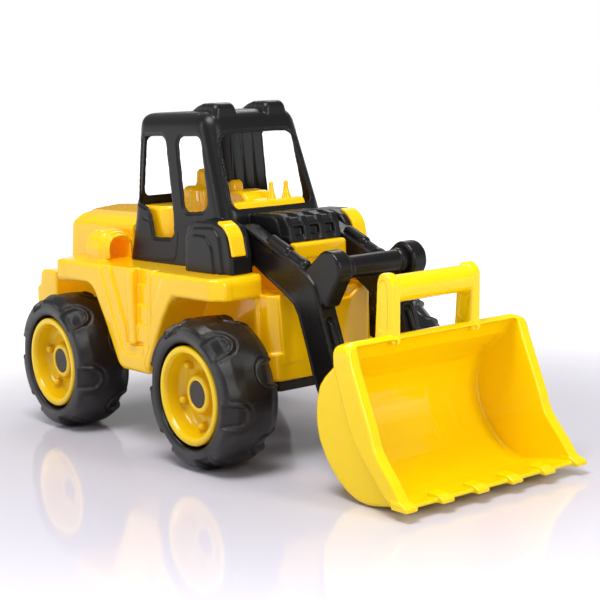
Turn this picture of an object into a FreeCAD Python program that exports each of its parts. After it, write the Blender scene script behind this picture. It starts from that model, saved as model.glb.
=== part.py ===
import FreeCAD, Part
import os, math

V = FreeCAD.Vector
os.makedirs("parts", exist_ok=True)

# ---------------------------------------------------------------- driving dimensions (mm)
# Frame: +X towards the bucket, +Y to the loader's left, +Z up, z = 0 on the ground.
front_axle_x = 51.5        # the profile tables below are measured from the front axle
wheelbase = 280.4
wheel_r = 76.0             # tyre outer radius, also the height of both axles
tyre_w = 64.2
tyre_y = 113.3             # mid plane of a wheel
tyre_wall = 3.0
shoulder_r = 13.0
rim_r = 50.4
hub_cap_r = 13.3
axle_r = 4.0
axle_clear = 0.08
axle_half = 129.0
skin = 3.0                 # wall of the moulded shells
deck_z = 190.5
fender_low_z = 167.0
fender_y = 120.0
body_y = 70.0              # half width between the wheels
body_low_z = 83.0
hood_y = 60.0
frame_low_z = 71.5
arm_in_y, arm_out_y = 39.0, 59.0
slot_in_y, slot_out_y = 34.0, 62.0
cover_y = 93.0
lift_x, lift_z = -15.0, 222.0      # arm pivot
tilt_x, tilt_z = 137.0, 55.0       # bucket pivot
cross_x, cross_z = 119.0, 200.5    # crossbar axis
lift_pin_r, tilt_pin_r = 5.0, 4.0
pin_clear = 0.06
bucket_y = 104.0
bucket_flange_y = 114.0
bucket_wall = 3.4
grip_x, grip_z, grip_r = 200.5, 188.0, 12.7

# ---------------------------------------------------------------- outline helpers
def corners(pts):
    """Edges of a closed outline; a third number in a point rounds that corner."""
    n = len(pts); segs = []
    for i in range(n):
        p = pts[i]; a = pts[i - 1]; b = pts[(i + 1) % n]
        r = p[2] if len(p) > 2 else 0
        if r <= 0:
            segs.append((None, (p[0], p[1]), (p[0], p[1]), (p[0], p[1]))); continue
        ux, uz = a[0] - p[0], a[1] - p[1]; vx, vz = b[0] - p[0], b[1] - p[1]
        lu, lv = math.hypot(ux, uz), math.hypot(vx, vz)
        ux, uz, vx, vz = ux / lu, uz / lu, vx / lv, vz / lv
        half = math.acos(max(-1, min(1, ux * vx + uz * vz))) / 2
        if half > math.pi / 2 - 0.02:
            segs.append((None, (p[0], p[1]), (p[0], p[1]), (p[0], p[1]))); continue
        t = r / math.tan(half)
        lim = 0.48 * min(lu, lv)
        if t > lim:
            t = lim; r = t * math.tan(half)
        bx, bz = ux + vx, uz + vz; lb = math.hypot(bx, bz); bx, bz = bx / lb, bz / lb
        d = r / math.sin(half) - r
        segs.append((r, (p[0] + ux * t, p[1] + uz * t), (p[0] + bx * d, p[1] + bz * d), (p[0] + vx * t, p[1] + vz * t)))
    return segs

def face(pts, to3):
    segs = corners(pts); edges = []
    n = len(segs)
    for i in range(n):
        r, s, m, e = segs[i]
        if r is not None:
            edges.append(Part.Arc(to3(*s), to3(*m), to3(*e)).toShape())
        nxt = segs[(i + 1) % n][1]
        if math.hypot(nxt[0] - e[0], nxt[1] - e[1]) > 1e-6:
            edges.append(Part.LineSegment(to3(*e), to3(*nxt)).toShape())
    return Part.Face(Part.Wire(edges))

FX = front_axle_x
def xz(pts, y0, y1):
    """Side outline (x from the front axle, z) swept across the width y0..y1."""
    return face(pts, lambda x, z: V(x + FX, y0, z)).extrude(V(0, y1 - y0, 0))

def yz(pts, x0, x1):
    return face(pts, lambda y, z: V(x0 + FX, y, z)).extrude(V(x1 - x0, 0, 0))

def xy(pts, z0, z1):
    return face(pts, lambda x, y: V(x + FX, y, z0)).extrude(V(0, 0, z1 - z0))

def both(s):
    return [s, s.mirror(V(0, 0, 0), V(0, 1, 0))]

def rod(x, z, r, y0, y1):
    return Part.makeCylinder(r, y1 - y0, V(x + FX, y0, z), V(0, 1, 0))

def box(x0, x1, y0, y1, z0, z1):
    return Part.makeBox(x1 - x0, y1 - y0, z1 - z0, V(x0 + FX, y0, z0))

def fuse(parts):
    s = parts[0]
    if len(parts) > 1:
        s = s.fuse(parts[1:])
    return s

def inset(pts, d):
    """Outline moved inwards by d (simple mitred offset, corners kept in order)."""
    n = len(pts)
    area = sum(pts[i][0] * pts[(i + 1) % n][1] - pts[(i + 1) % n][0] * pts[i][1] for i in range(n))
    sgn = 1 if area > 0 else -1
    out = []
    for i in range(n):
        a, p, b = pts[i - 1], pts[i], pts[(i + 1) % n]
        e1 = (p[0] - a[0], p[1] - a[1]); e2 = (b[0] - p[0], b[1] - p[1])
        l1, l2 = math.hypot(*e1), math.hypot(*e2)
        n1 = (-e1[1] / l1 * sgn, e1[0] / l1 * sgn); n2 = (-e2[1] / l2 * sgn, e2[0] / l2 * sgn)
        k = 1 + n1[0] * n2[0] + n1[1] * n2[1]
        k = max(k, 0.25)
        q = (p[0] + d * (n1[0] + n2[0]) / k, p[1] + d * (n1[1] + n2[1]) / k)
        if len(p) > 2:
            q = q + (max(p[2] - d, 0.6),)
        out.append(q)
    return out

def save(name, shape):
    shape = shape.removeSplitter()
    sol = shape.Solids
    shape = sol[0] if len(sol) == 1 else Part.makeCompound(sol)
    if not shape.isValid():
        shape.fix(0.01, 0.01, 0.01)
    bb = shape.BoundBox
    print("%-24s solids %d valid %s vol %8.1f cm3  x %.1f..%.1f y %.1f..%.1f z %.1f..%.1f" % (
        name, len(sol), shape.isValid(), shape.Volume / 1000, bb.XMin, bb.XMax, bb.YMin, bb.YMax, bb.ZMin, bb.ZMax))
    shape.exportStep("parts/%s.step" % name)
    return shape

# ---------------------------------------------------------------- outlines (x, z, corner radius)
side_outline = [(25, deck_z, 9), (25, fender_low_z, 4), (-52, fender_low_z, 12), (-75, 142, 20), (-106, 92, 16),
                (-109, 79, 10), (-171, 79, 12), (-195, 124, 30), (-222, fender_low_z, 12), (-302.5, fender_low_z, 5),
                (-297, deck_z, 8)]
bumper_outline = [(-362, 96, 3), (-388, 96, 8), (-391, 118, 6), (-390, 149, 5), (-381, 154, 4), (-377, 171, 7), (-362, 171)]
hood_top = [(-hood_y, 160), (-hood_y, 226, 9), (-50, 235, 10), (-35, 238.5), (0, 241.5), (35, 238.5), (50, 235, 10),
            (hood_y, 226, 9), (hood_y, 160)]
cover_outline = [(-76, deck_z), (-73.5, 223, 6), (-66.5, 238, 9), (-52, 243.2, 12), (-22, 243.2, 14), (-4.5, 237.5, 9),
                 (3.8, 228.5, 10), (8.6, 209, 10), (9.2, deck_z)]
cab_outline = [(-223, deck_z), (-205.5, 334), (-203, 351, 14), (-150, 352.5), (-100, 352.8), (-71.5, 350, 12), (-64.5, 338, 8),
               (-33, 245.5), (-33, deck_z)]
cab_front = [(-72, deck_z), (-65.5, 240), (-60.5, 333), (-57, 353, 15), (57, 353, 15), (60.5, 333), (65.5, 240), (72, deck_z)]

# ---------------------------------------------------------------- body shell
pod = [(-99, deck_z - 4), (-99, 204, 6), (-96.5, 214, 8), (-90, 221.5, 9), (-77, 225, 14), (-64, 221.5, 9), (-56, 212), (-56, deck_z - 4)]
def body(d):
    low = body_low_z - (8 if d else 0)
    top = deck_z - d
    parts = []
    # main tub between the wheels, and the nose
    parts.append(box(-372 + d, 20 - d, -body_y + d, body_y - d, low, top))
    parts.append(xy([(-20, -66 + d), (34 - d, -66 + d), (41.5 - d, -57 + d, 3), (41.5 - d, 57 - d, 3), (34 - d, 66 - d), (-20, 66 - d)], low, 170 - d))
    parts.append(xy([(10, -59 + d), (43.5 - d, -59 + d, 4), (43.5 - d, 59 - d, 4), (10, 59 - d)], low, 105 - d))
    # centre block under the grille and the block that carries the cab
    parts.append(box(-32.7 + d, 41.5 - d, -slot_in_y + 0.3 + d, slot_in_y - 0.3 - d, 150, 219 - d))
    # fenders, side skirts, deck
    s = inset(side_outline, d) if d else side_outline
    for k in both(xz(s, -fender_y + d, -body_y + 8)):
        parts.append(k)
    # hood and bumper
    parts.append(yz(hood_top if not d else inset(hood_top, d), -378 + d, -226 - (0 if d else 0)))
    b = inset(bumper_outline, d) if d else bumper_outline
    parts.append(xz(b, -100 + d, 100 - d))
    return fuse(parts)

outer = body(0)
inner = body(skin)
shell = outer.cut(inner)
# hood rear face leans forward, its top edge is rounded
shell = shell.cut(xz([(-400, 171.2), (-378, 171.2), (-367, 226, 12), (-356, 246), (-356, 260), (-400, 260)], -90, 90))
shell = shell.fuse(xz([(-376, 171.2), (-366.2, 225, 11), (-357, 236), (-354.5, 234), (-363, 224, 9), (-373, 171.2)], -hood_y + 1, hood_y - 1).common(yz(hood_top, -380, -340)))
# rear deck behind the fenders, its corners cut off
dk = [(-296, -118), (-305, -118), (-317, -92, 10), (-327, -61, 6), (-327, 61, 6), (-317, 92, 10), (-305, 118), (-296, 118)]
shell = shell.fuse(xy(dk, fender_low_z, deck_z).cut(xy(inset(dk, skin), fender_low_z - 3, deck_z - skin)))
# rounded vertical corners of the front fenders
for k in both(box(18, 26, 113, 121, 160, 195).cut(Part.makeCylinder(7, 40, V(18 + FX, 113, 158)))):
    shell = shell.cut(k)
# corner webs between fender and nose
for k in both(yz([(-78.5, 189, 2), (-64, 189, 2), (-64, body_low_z), (-75.8, body_low_z)], 14, 33).fuse(yz([(-68.5, 189, 3), (-62.3, 189, 2), (-62.3, body_low_z), (-64.6, body_low_z)], 28, 42))):
    shell = shell.fuse(k)
# underside and front of the hood stay open to the tub; slots for the arms are cut down to the floor of the nose
for s in both(box(-33.0, 60, -slot_out_y, -slot_in_y + 0.3, 170, 260)):
    shell = shell.cut(s)
# slot floor and cheeks
for s in both(box(-33, 38, -slot_out_y, -slot_in_y, 167, 170)):
    shell = shell.fuse(s)
for s in both(box(-33, 22, -slot_out_y - skin, -slot_out_y, 167, deck_z)):
    shell = shell.fuse(s)
shell = shell.fuse(box(-33 - skin, -33, -slot_out_y - skin, slot_out_y + skin, 167, deck_z))
shell = shell.fuse(box(-33.2, -32.5, -slot_in_y + 0.3, slot_in_y - 0.3, 167, deck_z - 0.3))
# half-round relief in the block for the bosses that carry the arm shaft
shell = shell.cut(rod(lift_x, lift_z, 9.4, -40, 40))
# side pods behind the cab
for sgn in (0, 1):
    p = yz(pod, -266, -223.3).cut(yz([(-87, 195), (-87, 207, 8), (-80, 216, 8), (-72, 217, 6), (-64, 210, 5), (-64, 195)], -240, -221))
    p = p.cut(box(-262, -244, -96, -50, deck_z - 5, 219))
    if sgn:
        p = p.mirror(V(0, 0, 0), V(0, 1, 0))
    shell = shell.fuse(p)
# footwell steps: recess with treads in each skirt
for y0, y1 in ((-fender_y - 1, -fender_y + 9), (fender_y - 9, fender_y + 1)):
    shell = shell.fuse(xz([(-137, 108), (-103, 108), (-97, deck_z - 0.5), (-135, deck_z - 0.5)], *( (-fender_y + 1, -fender_y + 11.5) if y0 < 0 else (fender_y - 11.5, fender_y - 1))))
    shell = shell.cut(xz([(-133, 110, 2), (-107, 110, 2), (-101, deck_z + 1), (-131, deck_z + 1)], y0, y1 - 1) if y0 < 0
                      else xz([(-133, 110, 2), (-107, 110, 2), (-101, deck_z + 1), (-131, deck_z + 1)], y0 + 1, y1))
for z in (131.5, 152.5, 173.5):
    for s in both(xz([(-132.5, z - 3), (-104, z - 3), (-103, z, 1), (-132.5, z, 1)], -fender_y + 1.5, -fender_y + 10)):
        shell = shell.fuse(s)
# raised trim frame of the skirt, as shallow grooves
for s in both(xz([(-203, 186), (-196, 186), (-150, 104), (-127, 104), (-127, 100), (-155, 97, 4), (-161, 100, 3)], -fender_y - 1, -fender_y + 1.2)):
    shell = shell.cut(s)
# screw posts towards the base frame
post_xy = [(-340, 61.2), (-340, -61.2), (-140, 55), (-140, -55), (-45, 30), (-45, -30)]
for px, py in post_xy:
    post = Part.makeCylinder(6, deck_z - 1 - body_low_z, V(px + FX, py, body_low_z)).cut(Part.makeCylinder(1.6, 26, V(px + FX, py, body_low_z)))
    shell = shell.fuse(post)
body_shell = save("body_shell", shell)

# ---------------------------------------------------------------- base frame
plan = [(-386, -60, 12), (-386, 60, 12), (-352, 67, 6), (14, 67, 4), (24, 57, 6), (36, 57, 4), (36, -57, 4), (24, -57, 6), (14, -67, 4), (-352, -67, 6)]
tray = xy(plan, frame_low_z, body_low_z).cut(xy(inset(plan, skin), frame_low_z + skin, body_low_z + 1))
for ax in (0, -wheelbase):
    tray = tray.fuse(box(ax - 9, ax + 9, -64, 64, frame_low_z, body_low_z))
    tray = tray.fuse(rod(ax, wheel_r, 6.8, -86.0, -66.9)).fuse(rod(ax, wheel_r, 6.8, 66.9, 86.0))
for px, py in post_xy:
    tray = tray.fuse(Part.makeCylinder(5.8, body_low_z - frame_low_z, V(px + FX, py, frame_low_z)))
for ax in (0, -wheelbase):
    tray = tray.cut(rod(ax, wheel_r, axle_r + 0.02, -90, 90))
for px, py in post_xy:
    tray = tray.cut(Part.makeCylinder(3.4, 3.0, V(px + FX, py, frame_low_z - 0.001)))
    tray = tray.cut(Part.makeCylinder(1.7, 14, V(px + FX, py, frame_low_z)))
base_frame = save("base_frame", tray)
screws = []
for px, py in post_xy:
    s = Part.makeCylinder(3.2, 1.75, V(px + FX, py, frame_low_z + 1.2)).fuse(Part.makeCylinder(1.55, 22, V(px + FX, py, frame_low_z + 2)))
    s = s.cut(Part.makeBox(4.4, 0.9, 0.9, V(px + FX - 2.2, py - 0.45, frame_low_z + 1.1)))
    s = s.cut(Part.makeBox(0.9, 4.4, 0.9, V(px + FX - 0.45, py - 2.2, frame_low_z + 1.1)))
    screws.append(s)
save("base_screws", Part.makeCompound(screws))

# ---------------------------------------------------------------- cab shell with cowl, wheel covers and roof lights
def cab(d):
    o = inset(cab_outline, d) if d else cab_outline
    f = inset(cab_front, d) if d else cab_front
    if d:
        o = [(p if p[1] > deck_z + 5 else (p[0], deck_z - 5)) for p in o]
        f = [(p if p[1] > deck_z + 5 else (p[0], deck_z - 5)) for p in f]
    return xz(o, -90, 90).common(yz(f, -240, 0))

def cover(d):
    o = inset(cover_outline, d) if d else cover_outline
    if d:
        o = [(p if p[1] > deck_z + 5 else (p[0], deck_z - 5)) for p in o]
    return xz(o, -cover_y + d, -slot_out_y - d)

cb = cab(0)
cab_solid = cb
cov = both(cover(0))
cowl_prof = [(-40, 200), (-40, 247), (12, 247.2, 6), (25, 244.8, 8), (31, 235.5, 5), (33.4, 222, 2), (33, 219.2), (-33, 219.2)]
cowl = xz(cowl_prof, -slot_in_y, slot_in_y).cut(xz([(-37, 190), (-37, 244), (11, 244.2, 5), (23, 242, 6), (28, 234.5, 4), (30.2, 221), (29.8, 216), (-30, 216)], -slot_in_y + skin, slot_in_y - skin))
solid = fuse([cab_solid] + cov + [cowl])
hollow = fuse([cab(skin)] + both(cover(skin)))
cs = solid.cut(hollow)
# sunk fields between the ribs of the cowl
for y0, y1 in ((-25.2, -14.3), (-4.8, 5.4), (14.9, 24.8)):
    cs = cs.cut(xz([(26.2, 243.4), (29.3, 236.0, 3), (31.4, 226.5), (40, 226.5), (40, 243.4)], y0, y1))
# window and door openings
near_window = [(-122, 326, 9), (-80, 326.5, 9), (-66.5, 255, 8), (-76, 249.5, 5), (-104, 247.5, 6), (-110, 254, 4)]
door_opening = [(-193, 327, 9), (-148, 327, 9), (-136, 262, 30), (-129.5, 219.5, 6), (-167, 218.5, 4), (-177, 243, 6), (-184, 250, 5), (-208, 257, 4)]
far_window = [(-132, 326.5, 5), (-80, 326.5, 9), (-66.5, 255, 8), (-76, 249.5, 5), (-131, 250.5, 5)]
cs = cs.cut(xz(near_window, -90, -40)).cut(xz(door_opening, -90, -40)).cut(xz(far_window, 40, 90))
cs = cs.cut(yz([(-49, 261, 6), (-46, 326, 7), (46, 326, 7), (49, 261, 6)], -230, -195))
windscreen = [(-51.7, 252, 6), (-47.4, 329.4, 8), (47.4, 329.4, 8), (51.7, 252, 6)]
cs = cs.cut(yz(windscreen, -80, -20))
# roof lights
def roof_light():
    b = xz([(-123, 350.3), (-104, 358.2, 5), (-92, 361, 5), (-78.5, 361, 3), (-73.4, 354, 6), (-69.8, 343.4), (-90, 343)], -50, -15.4)
    b = b.common(xy([(-124, -33), (-104, -46.6), (-88, -49.2, 4), (-69.6, -49.6, 4), (-69.6, -15.8, 4), (-88, -16.2, 4), (-104, -18.8), (-124, -31)], 338, 365))
    return b.common(yz([(-50.6, 338), (-43.8, 364), (-21.6, 364), (-14.8, 338)], -125, -65))
for s in both(roof_light()):
    cs = cs.fuse(s.cut(cab(skin)))
# door panel relief and step panels on the covers
for s in both(xz([(-168, 196, 3), (-128, 196, 3), (-126, 214, 3), (-166, 214, 3)], -78, -68.6)):
    cs = cs.cut(s.cut(cab(2.0)))
# headlight panels sit in shallow pockets on the curved front of the covers
hp = [(-14, 241.2), (-5.6, 237.0), (2.4, 228.0, 8), (7.2, 208.6), (9.6, 211), (5.2, 229.6, 9), (-3.6, 239.2, 6), (-12.6, 243.6)]
panel = xz(hp, -88, -71)
cs = cs.cut(both(panel)[0]).cut(both(panel)[1])
# pivot bosses for the arm shaft
for s in both(rod(lift_x, lift_z, 9, -slot_out_y - 7, -slot_out_y + 0.0)):
    cs = cs.fuse(s)
for s in both(rod(lift_x, lift_z, 9, -slot_in_y + 0.0, -slot_in_y + 6)):
    cs = cs.fuse(s)
cs = cs.cut(rod(lift_x, lift_z, lift_pin_r + 0.02, -slot_out_y - 6, slot_out_y + 6))
cab_posts = [(-216, 64.5), (-216, -64.5), (-40.5, 64.5), (-40.5, -64.5)]
for px, py in cab_posts:
    cs = cs.fuse(Part.makeCylinder(5, 20, V(px + FX, py, deck_z)).cut(Part.makeCylinder(1.6, 16, V(px + FX, py, deck_z))))
cab_shell = save("cab_shell", cs)
save("headlight_panel_right", panel)
save("headlight_panel_left", panel.mirror(V(0, 0, 0), V(0, 1, 0)))
save("lift_shaft", rod(lift_x, lift_z, lift_pin_r, -slot_out_y - 5.8, slot_out_y + 5.8))
cscr = []
for px, py in cab_posts:
    cscr.append(Part.makeCylinder(1.55, 15, V(px + FX, py, deck_z - skin - 0.8)).fuse(Part.makeCylinder(3.0, 1.8, V(px + FX, py, deck_z - skin - 1.8))))
cscr_holes = [Part.makeCylinder(1.7, skin + 2, V(px + FX, py, deck_z - skin - 1)) for px, py in cab_posts]
body_shell = body_shell.cut(fuse(cscr_holes))
body_shell = save("body_shell", body_shell)
save("cab_screws", Part.makeCompound(cscr))

# ---------------------------------------------------------------- cab interior: seat, console and levers in one moulding
seat = [xy([(-209, -57.5, 3), (-209, 57.5, 3), (-166, 57.5, 14), (-150, 40, 16), (-150, -40, 16), (-166, -57.5, 14)], deck_z, 250),
        xy([(-152, -40, 10), (-112, -40, 12), (-112, 40, 12), (-152, 40, 10)], deck_z, 229),
        xz([(-168, 240), (-161, 271, 9), (-144, 271, 9), (-138, 226), (-160, 226)], -31, 31),
        xz([(-165, 262), (-161, 289, 6), (-146, 289, 7), (-143, 262)], -14, 14),
        xy([(-114, -46), (-100, -46), (-39, -46, 4), (-39, 46, 4), (-100, 46), (-114, 46)], deck_z, 215),
        xz([(-70, 210), (-62, 254, 4), (-58, 260, 3), (-42.5, 260, 3), (-39, 250), (-38, 210)], -46, 46),
        xz([(-94, 210), (-96, 262, 5), (-90, 267.5, 4), (-70, 266, 4), (-58, 256), (-56, 210)], -15, 15),
        xz([(-108, 210), (-110, 268, 5), (-106, 277, 4), (-101, 274, 4), (-93, 210)], -9, 9)]
ci = fuse(seat)
for yy in (7.6, 27.0):
    ci = ci.fuse(Part.makeCone(4.4, 2.2, 15, V(-50 + FX, yy, 258))).fuse(Part.makeSphere(2.4, V(-50 + FX, yy, 273.5)))
ci = ci.cut(xy([(-206, -54), (-206, 54), (-168, 54, 10), (-153, 39, 14), (-153, -39, 14), (-168, -54, 10)], deck_z - 1, 247))
ci = ci.cut(box(-150, -117, -36, 36, deck_z - 1, 226)).cut(box(-110, -43, -42, 42, deck_z - 1, 207))
save("cab_interior", ci)

# ---------------------------------------------------------------- axles
for name, ax in (("front_axle", 0), ("rear_axle", -wheelbase)):
    save(name, rod(ax, wheel_r, axle_r, -axle_half, axle_half))
nuts = []
for ax in (0, -wheelbase):
    for s in (-1, 1):
        y = s * (tyre_y + 14.4)
        n = rod(ax, wheel_r, 9, y - 0.9, y + 0.9).fuse(rod(ax, wheel_r, 5.6, y - 1.1, y + 1.1)).cut(rod(ax, wheel_r, axle_r, y - 4, y + 4))
        nuts.append(n)
save("axle_push_nuts", Part.makeCompound(nuts))

# ---------------------------------------------------------------- wheels
def turned(pts):
    """Closed outline (radius, distance outwards from the wheel's mid plane) turned about the axle."""
    f = face(pts, lambda r, w: V(r, w, 0))
    return f.revolve(V(0, 0, 0), V(0, 1, 0), 360)

hw = tyre_w / 2
tyre_out = [(52.4, 5), (52.4, hw - 0.2, 1.8), (56, hw, 1.0), (wheel_r - 0.6, hw, shoulder_r), (wheel_r, 6), (wheel_r, -6),
            (wheel_r - 0.6, -hw, shoulder_r), (51, -hw, 2), (46, -24, 3), (16, -24), (16, 5)]
tyre_in = [(55.5, 2), (55.5, hw - 3), (wheel_r - 3.6, hw - 3, shoulder_r - 3), (wheel_r - 3, 6), (wheel_r - 3, -6),
           (wheel_r - 3.6, -hw + 3, shoulder_r - 3), (53, -hw + 3, 1), (48, -21, 2), (19, -21), (19, 2)]
tyre = turned(tyre_out).cut(turned(tyre_in))
tyre = tyre.cut(Part.makeCylinder(2.5, 8, V(0, -20, 35), V(0, -1, 0)))
# shallow scoops on both shoulders
for side, off in ((1, 50), (-1, 20)):
    for k in range(6):
        a = math.radians(off + 60 * k)
        rad = V(math.cos(a), 0, math.sin(a)); ax = V(0, side, 0)
        d = (rad + ax).normalize()
        c = rad * (wheel_r - 4.5) + ax * (hw - 5.0)
        tyre = tyre.cut(Part.makeCylinder(12, 12, c, d))
tyre_solid = tyre
print("tyre", tyre.isValid(), tyre.Volume / 1000, len(tyre.Solids))

rim_pts = [(rim_r, 5), (rim_r, 30.4, 1.2), (43, 30.4, 1.4), (38, 9, 8), (22, 8, 3), (18.6, 19.0, 3.5), (13.4, 19.0, 0.6),
           (13.4, 16.3), (12.4, 16.3), (12.4, 13), (axle_r + axle_clear, 13), (axle_r + axle_clear, -24), (9, -24), (9, 5.2),
           (40.2, 6.2, 5), (45.5, 27.6), (47.8, 27.6), (47.8, 5)]
rim = turned(rim_pts)
for k in range(5):
    a = math.radians(52 + 72 * k)
    rad = V(math.cos(a), 0, math.sin(a))
    c = rad * 34
    rim = rim.fuse(Part.makeCylinder(4.6, 7.5, c + V(0, 7.4, 0), V(0, 1, 0)))
    rim = rim.fuse(Part.makeCone(6.6, 5.0, 4.0, c + V(0, 7.4, 0), V(0, 1, 0)))
cap = turned([(0.0, 16.35), (hub_cap_r, 16.35), (hub_cap_r, 18.6, 0.7), (0.0, 18.6)])
lock = turned([(9, -27), (22, -27, 1), (22, -24), (16, -24), (16, -14), (9, -14)])

for name, ax, side in (("front_right", 0, -1), ("front_left", 0, 1), ("rear_right", -wheelbase, -1), ("rear_left", -wheelbase, 1)):
    for part, s in (("tyre", tyre_solid), ("rim", rim), ("hub_cap", cap), ("wheel_lock_ring", lock)):
        q = s.copy()
        if side < 0:
            q = q.mirror(V(0, 0, 0), V(0, 1, 0))
        q.translate(V(ax + FX, side * tyre_y, wheel_r))
        save("%s_%s" % (part, name), q)

# ---------------------------------------------------------------- loader arms
arm_outline = [(-9.2, 236.4), (1, 232.4), (34, 219), (66, 206), (81, 199.6), (92, 193.6, 8), (101.5, 185, 14), (106.5, 173), (111.5, 157),
               (118, 139), (124, 121), (128, 112), (151.2, 60.5), (149.6, 47, 11), (133, 41, 12), (121.5, 50, 8), (99, 81), (92, 98), (87, 115),
               (80, 135), (73.5, 153, 8), (67, 163, 10), (57, 169.6, 20), (39, 179), (18, 189.5), (4, 197.2), (-20.5, 207.6)]
cam_outline = [(84, 198), (108.5, 215.8), (119, 219, 12), (136, 213, 14), (138.5, 196, 14), (131, 186.5), (115, 163), (100, 170)]
arm = xz(arm_outline, -arm_out_y, -arm_in_y).fuse(rod(lift_x, lift_z, 15.5, -arm_out_y, -arm_in_y))
cam = xz(cam_outline, -56.2, -38)
arm = arm.fuse(cam)
# relief channel along the front of the lower arm and a moulded cylinder on top of the upper arm
arm = arm.cut(xz([(117, 157), (122, 158), (152, 76), (146, 72), (113, 155)], -53, -46))
arm = arm.fuse(xz([(26, 222), (28, 227, 2), (56, 215.5, 2), (80, 206.5, 2), (79, 200), (28, 218)], -53, -46))
# weight-saving pockets opened on the inner side of the arm
pocket = inset([(p[0], p[1]) for p in arm_outline], 5.0)
pk = xz(pocket, -arm_out_y + 9, -arm_in_y + 5).cut(rod(lift_x, lift_z, 12, -90, 0)).cut(rod(tilt_x, tilt_z, 14, -90, 0)).cut(cam).cut(
    xz([(108, 166), (126, 166), (160, 70), (128, 62), (100, 150)], -60, -30))
arm = arm.cut(pk)
arm = arm.cut(rod(lift_x, lift_z, lift_pin_r + pin_clear, -80, -20)).cut(rod(tilt_x, tilt_z, tilt_pin_r + pin_clear, -80, -20))
socket_r = 8.0
arm = arm.cut(rod(cross_x, cross_z, socket_r, -50, -30))
save("loader_arm_right", arm)
save("loader_arm_left", arm.mirror(V(0, 0, 0), V(0, 1, 0)))
bar = rod(cross_x, cross_z, 11, -38, 38).fuse(rod(cross_x, cross_z, socket_r, -50, 50)).cut(rod(cross_x, cross_z, 5.2, -51, 51))
save("arm_crossbar", bar)

# ---------------------------------------------------------------- bucket
b_outer = [(214, 143.5), (207, 147.5, 4), (193, 145, 5), (192, 132, 6), (178, 120, 12), (168, 112, 8), (160, 103, 8), (154.6, 88), (152.8, 69), (156, 51, 20), (166, 33.5, 20), (179, 18.5, 20),
           (193, 8.5, 20), (208, 2.4, 20), (224, 1.0, 20), (252, 5.5), (279, 9.2), (280.5, 13.6), (268, 30), (253, 47), (245, 57), (241, 71), (231, 96), (219, 126)]
b_inner = [(240, 143.6), (205, 143.6, 8), (194.5, 128, 6), (180, 116.5, 12), (170, 108.5, 8), (163.4, 101, 8), (158.2, 88), (156.4, 69), (159.4, 52.5, 20), (169, 36, 20), (181.6, 21.6, 20),
           (194.6, 12.2, 20), (209, 6.0, 20), (224, 4.6, 20), (251.6, 9.2), (279, 13.4), (296, 17), (296, 143.6)]
flange = [(214.5, 143.5), (207, 147.5, 5), (194, 145, 5), (194, 126), (205, 93), (212, 74), (219, 60), (235, 42), (257, 18), (270, 9.4, 6), (281.5, 9.8, 3), (281.5, 13.4), (268.5, 30.6),
          (253.5, 47.6), (245.6, 57.6), (241.6, 71.5), (231.6, 96.5), (219.6, 126.5)]
bk = xz(b_outer, -bucket_y, bucket_y)
bk = bk.fuse(xz(flange, -bucket_flange_y, bucket_flange_y))
bk = bk.cut(xz(b_inner, -bucket_y + bucket_wall, bucket_y - bucket_wall))
# lip teeth
tooth = [(270, 9.6), (288, 9.0, 1.2), (288, 12.6, 1.2), (281, 16.2, 2), (268, 15.6)]
for k in range(6):
    yc = -107.2 + k * 42.88
    bk = bk.fuse(xz(tooth, yc - 7.4, yc + 7.4))
# handle
post = xz([(184, 140), (190.5, 195, 10), (193, 203.4, 9), (206, 203.4, 9), (212.5, 196, 10), (209.5, 140)], -55.7, -44.7)
for s in both(post):
    bk = bk.fuse(s)
bk = bk.fuse(rod(grip_x, grip_z, grip_r, -46, 46))
# pivot lugs on both sides of each arm
for y0, y1 in ((-66.5, -60.0), (-38.0, -31.5)):
    lug = xz([(133, 64), (137, 66.5), (172, 84), (176, 30), (140, 43.8), (133, 45)], y0, y1).fuse(rod(tilt_x, tilt_z, 11.5, y0, y1))
    lug = lug.cut(xz(b_inner, -bucket_y, bucket_y))
    lug = lug.cut(rod(tilt_x, tilt_z, tilt_pin_r, -80, -20))
    for s in both(lug):
        bk = bk.fuse(s)
bucket = save("bucket", bk)
pins = []
for s in (-1, 1):
    y0, y1 = (-66.5, -31.5) if s < 0 else (31.5, 66.5)
    pins.append(rod(tilt_x, tilt_z, tilt_pin_r, y0, y1))
save("bucket_pivot_pins", Part.makeCompound(pins))
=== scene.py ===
import bpy, math
import numpy as np
from mathutils import Vector, Matrix


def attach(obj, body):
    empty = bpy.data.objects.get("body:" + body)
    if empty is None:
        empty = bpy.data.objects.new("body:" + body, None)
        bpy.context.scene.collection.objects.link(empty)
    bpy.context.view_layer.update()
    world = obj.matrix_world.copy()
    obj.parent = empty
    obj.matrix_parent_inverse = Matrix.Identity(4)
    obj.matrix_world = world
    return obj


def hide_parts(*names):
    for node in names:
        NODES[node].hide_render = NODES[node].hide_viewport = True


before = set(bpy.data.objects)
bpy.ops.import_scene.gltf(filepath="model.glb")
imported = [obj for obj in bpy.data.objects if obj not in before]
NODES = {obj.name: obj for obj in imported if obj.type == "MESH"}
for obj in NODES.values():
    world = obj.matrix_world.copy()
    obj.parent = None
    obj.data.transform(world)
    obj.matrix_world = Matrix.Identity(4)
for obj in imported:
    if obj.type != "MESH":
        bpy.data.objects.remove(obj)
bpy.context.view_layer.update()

FX = 51.5          # mm: profile tables are measured from the front axle, the row frame starts at the middle of the toy

# ======================================================================================= materials
def new_mat(name):
    m = bpy.data.materials.new(name)
    m.use_nodes = True
    nt = m.node_tree
    b = nt.nodes.get("Principled BSDF")
    return m, nt, b

def set_in(b, name, val):
    if name in b.inputs:
        b.inputs[name].default_value = val

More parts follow.
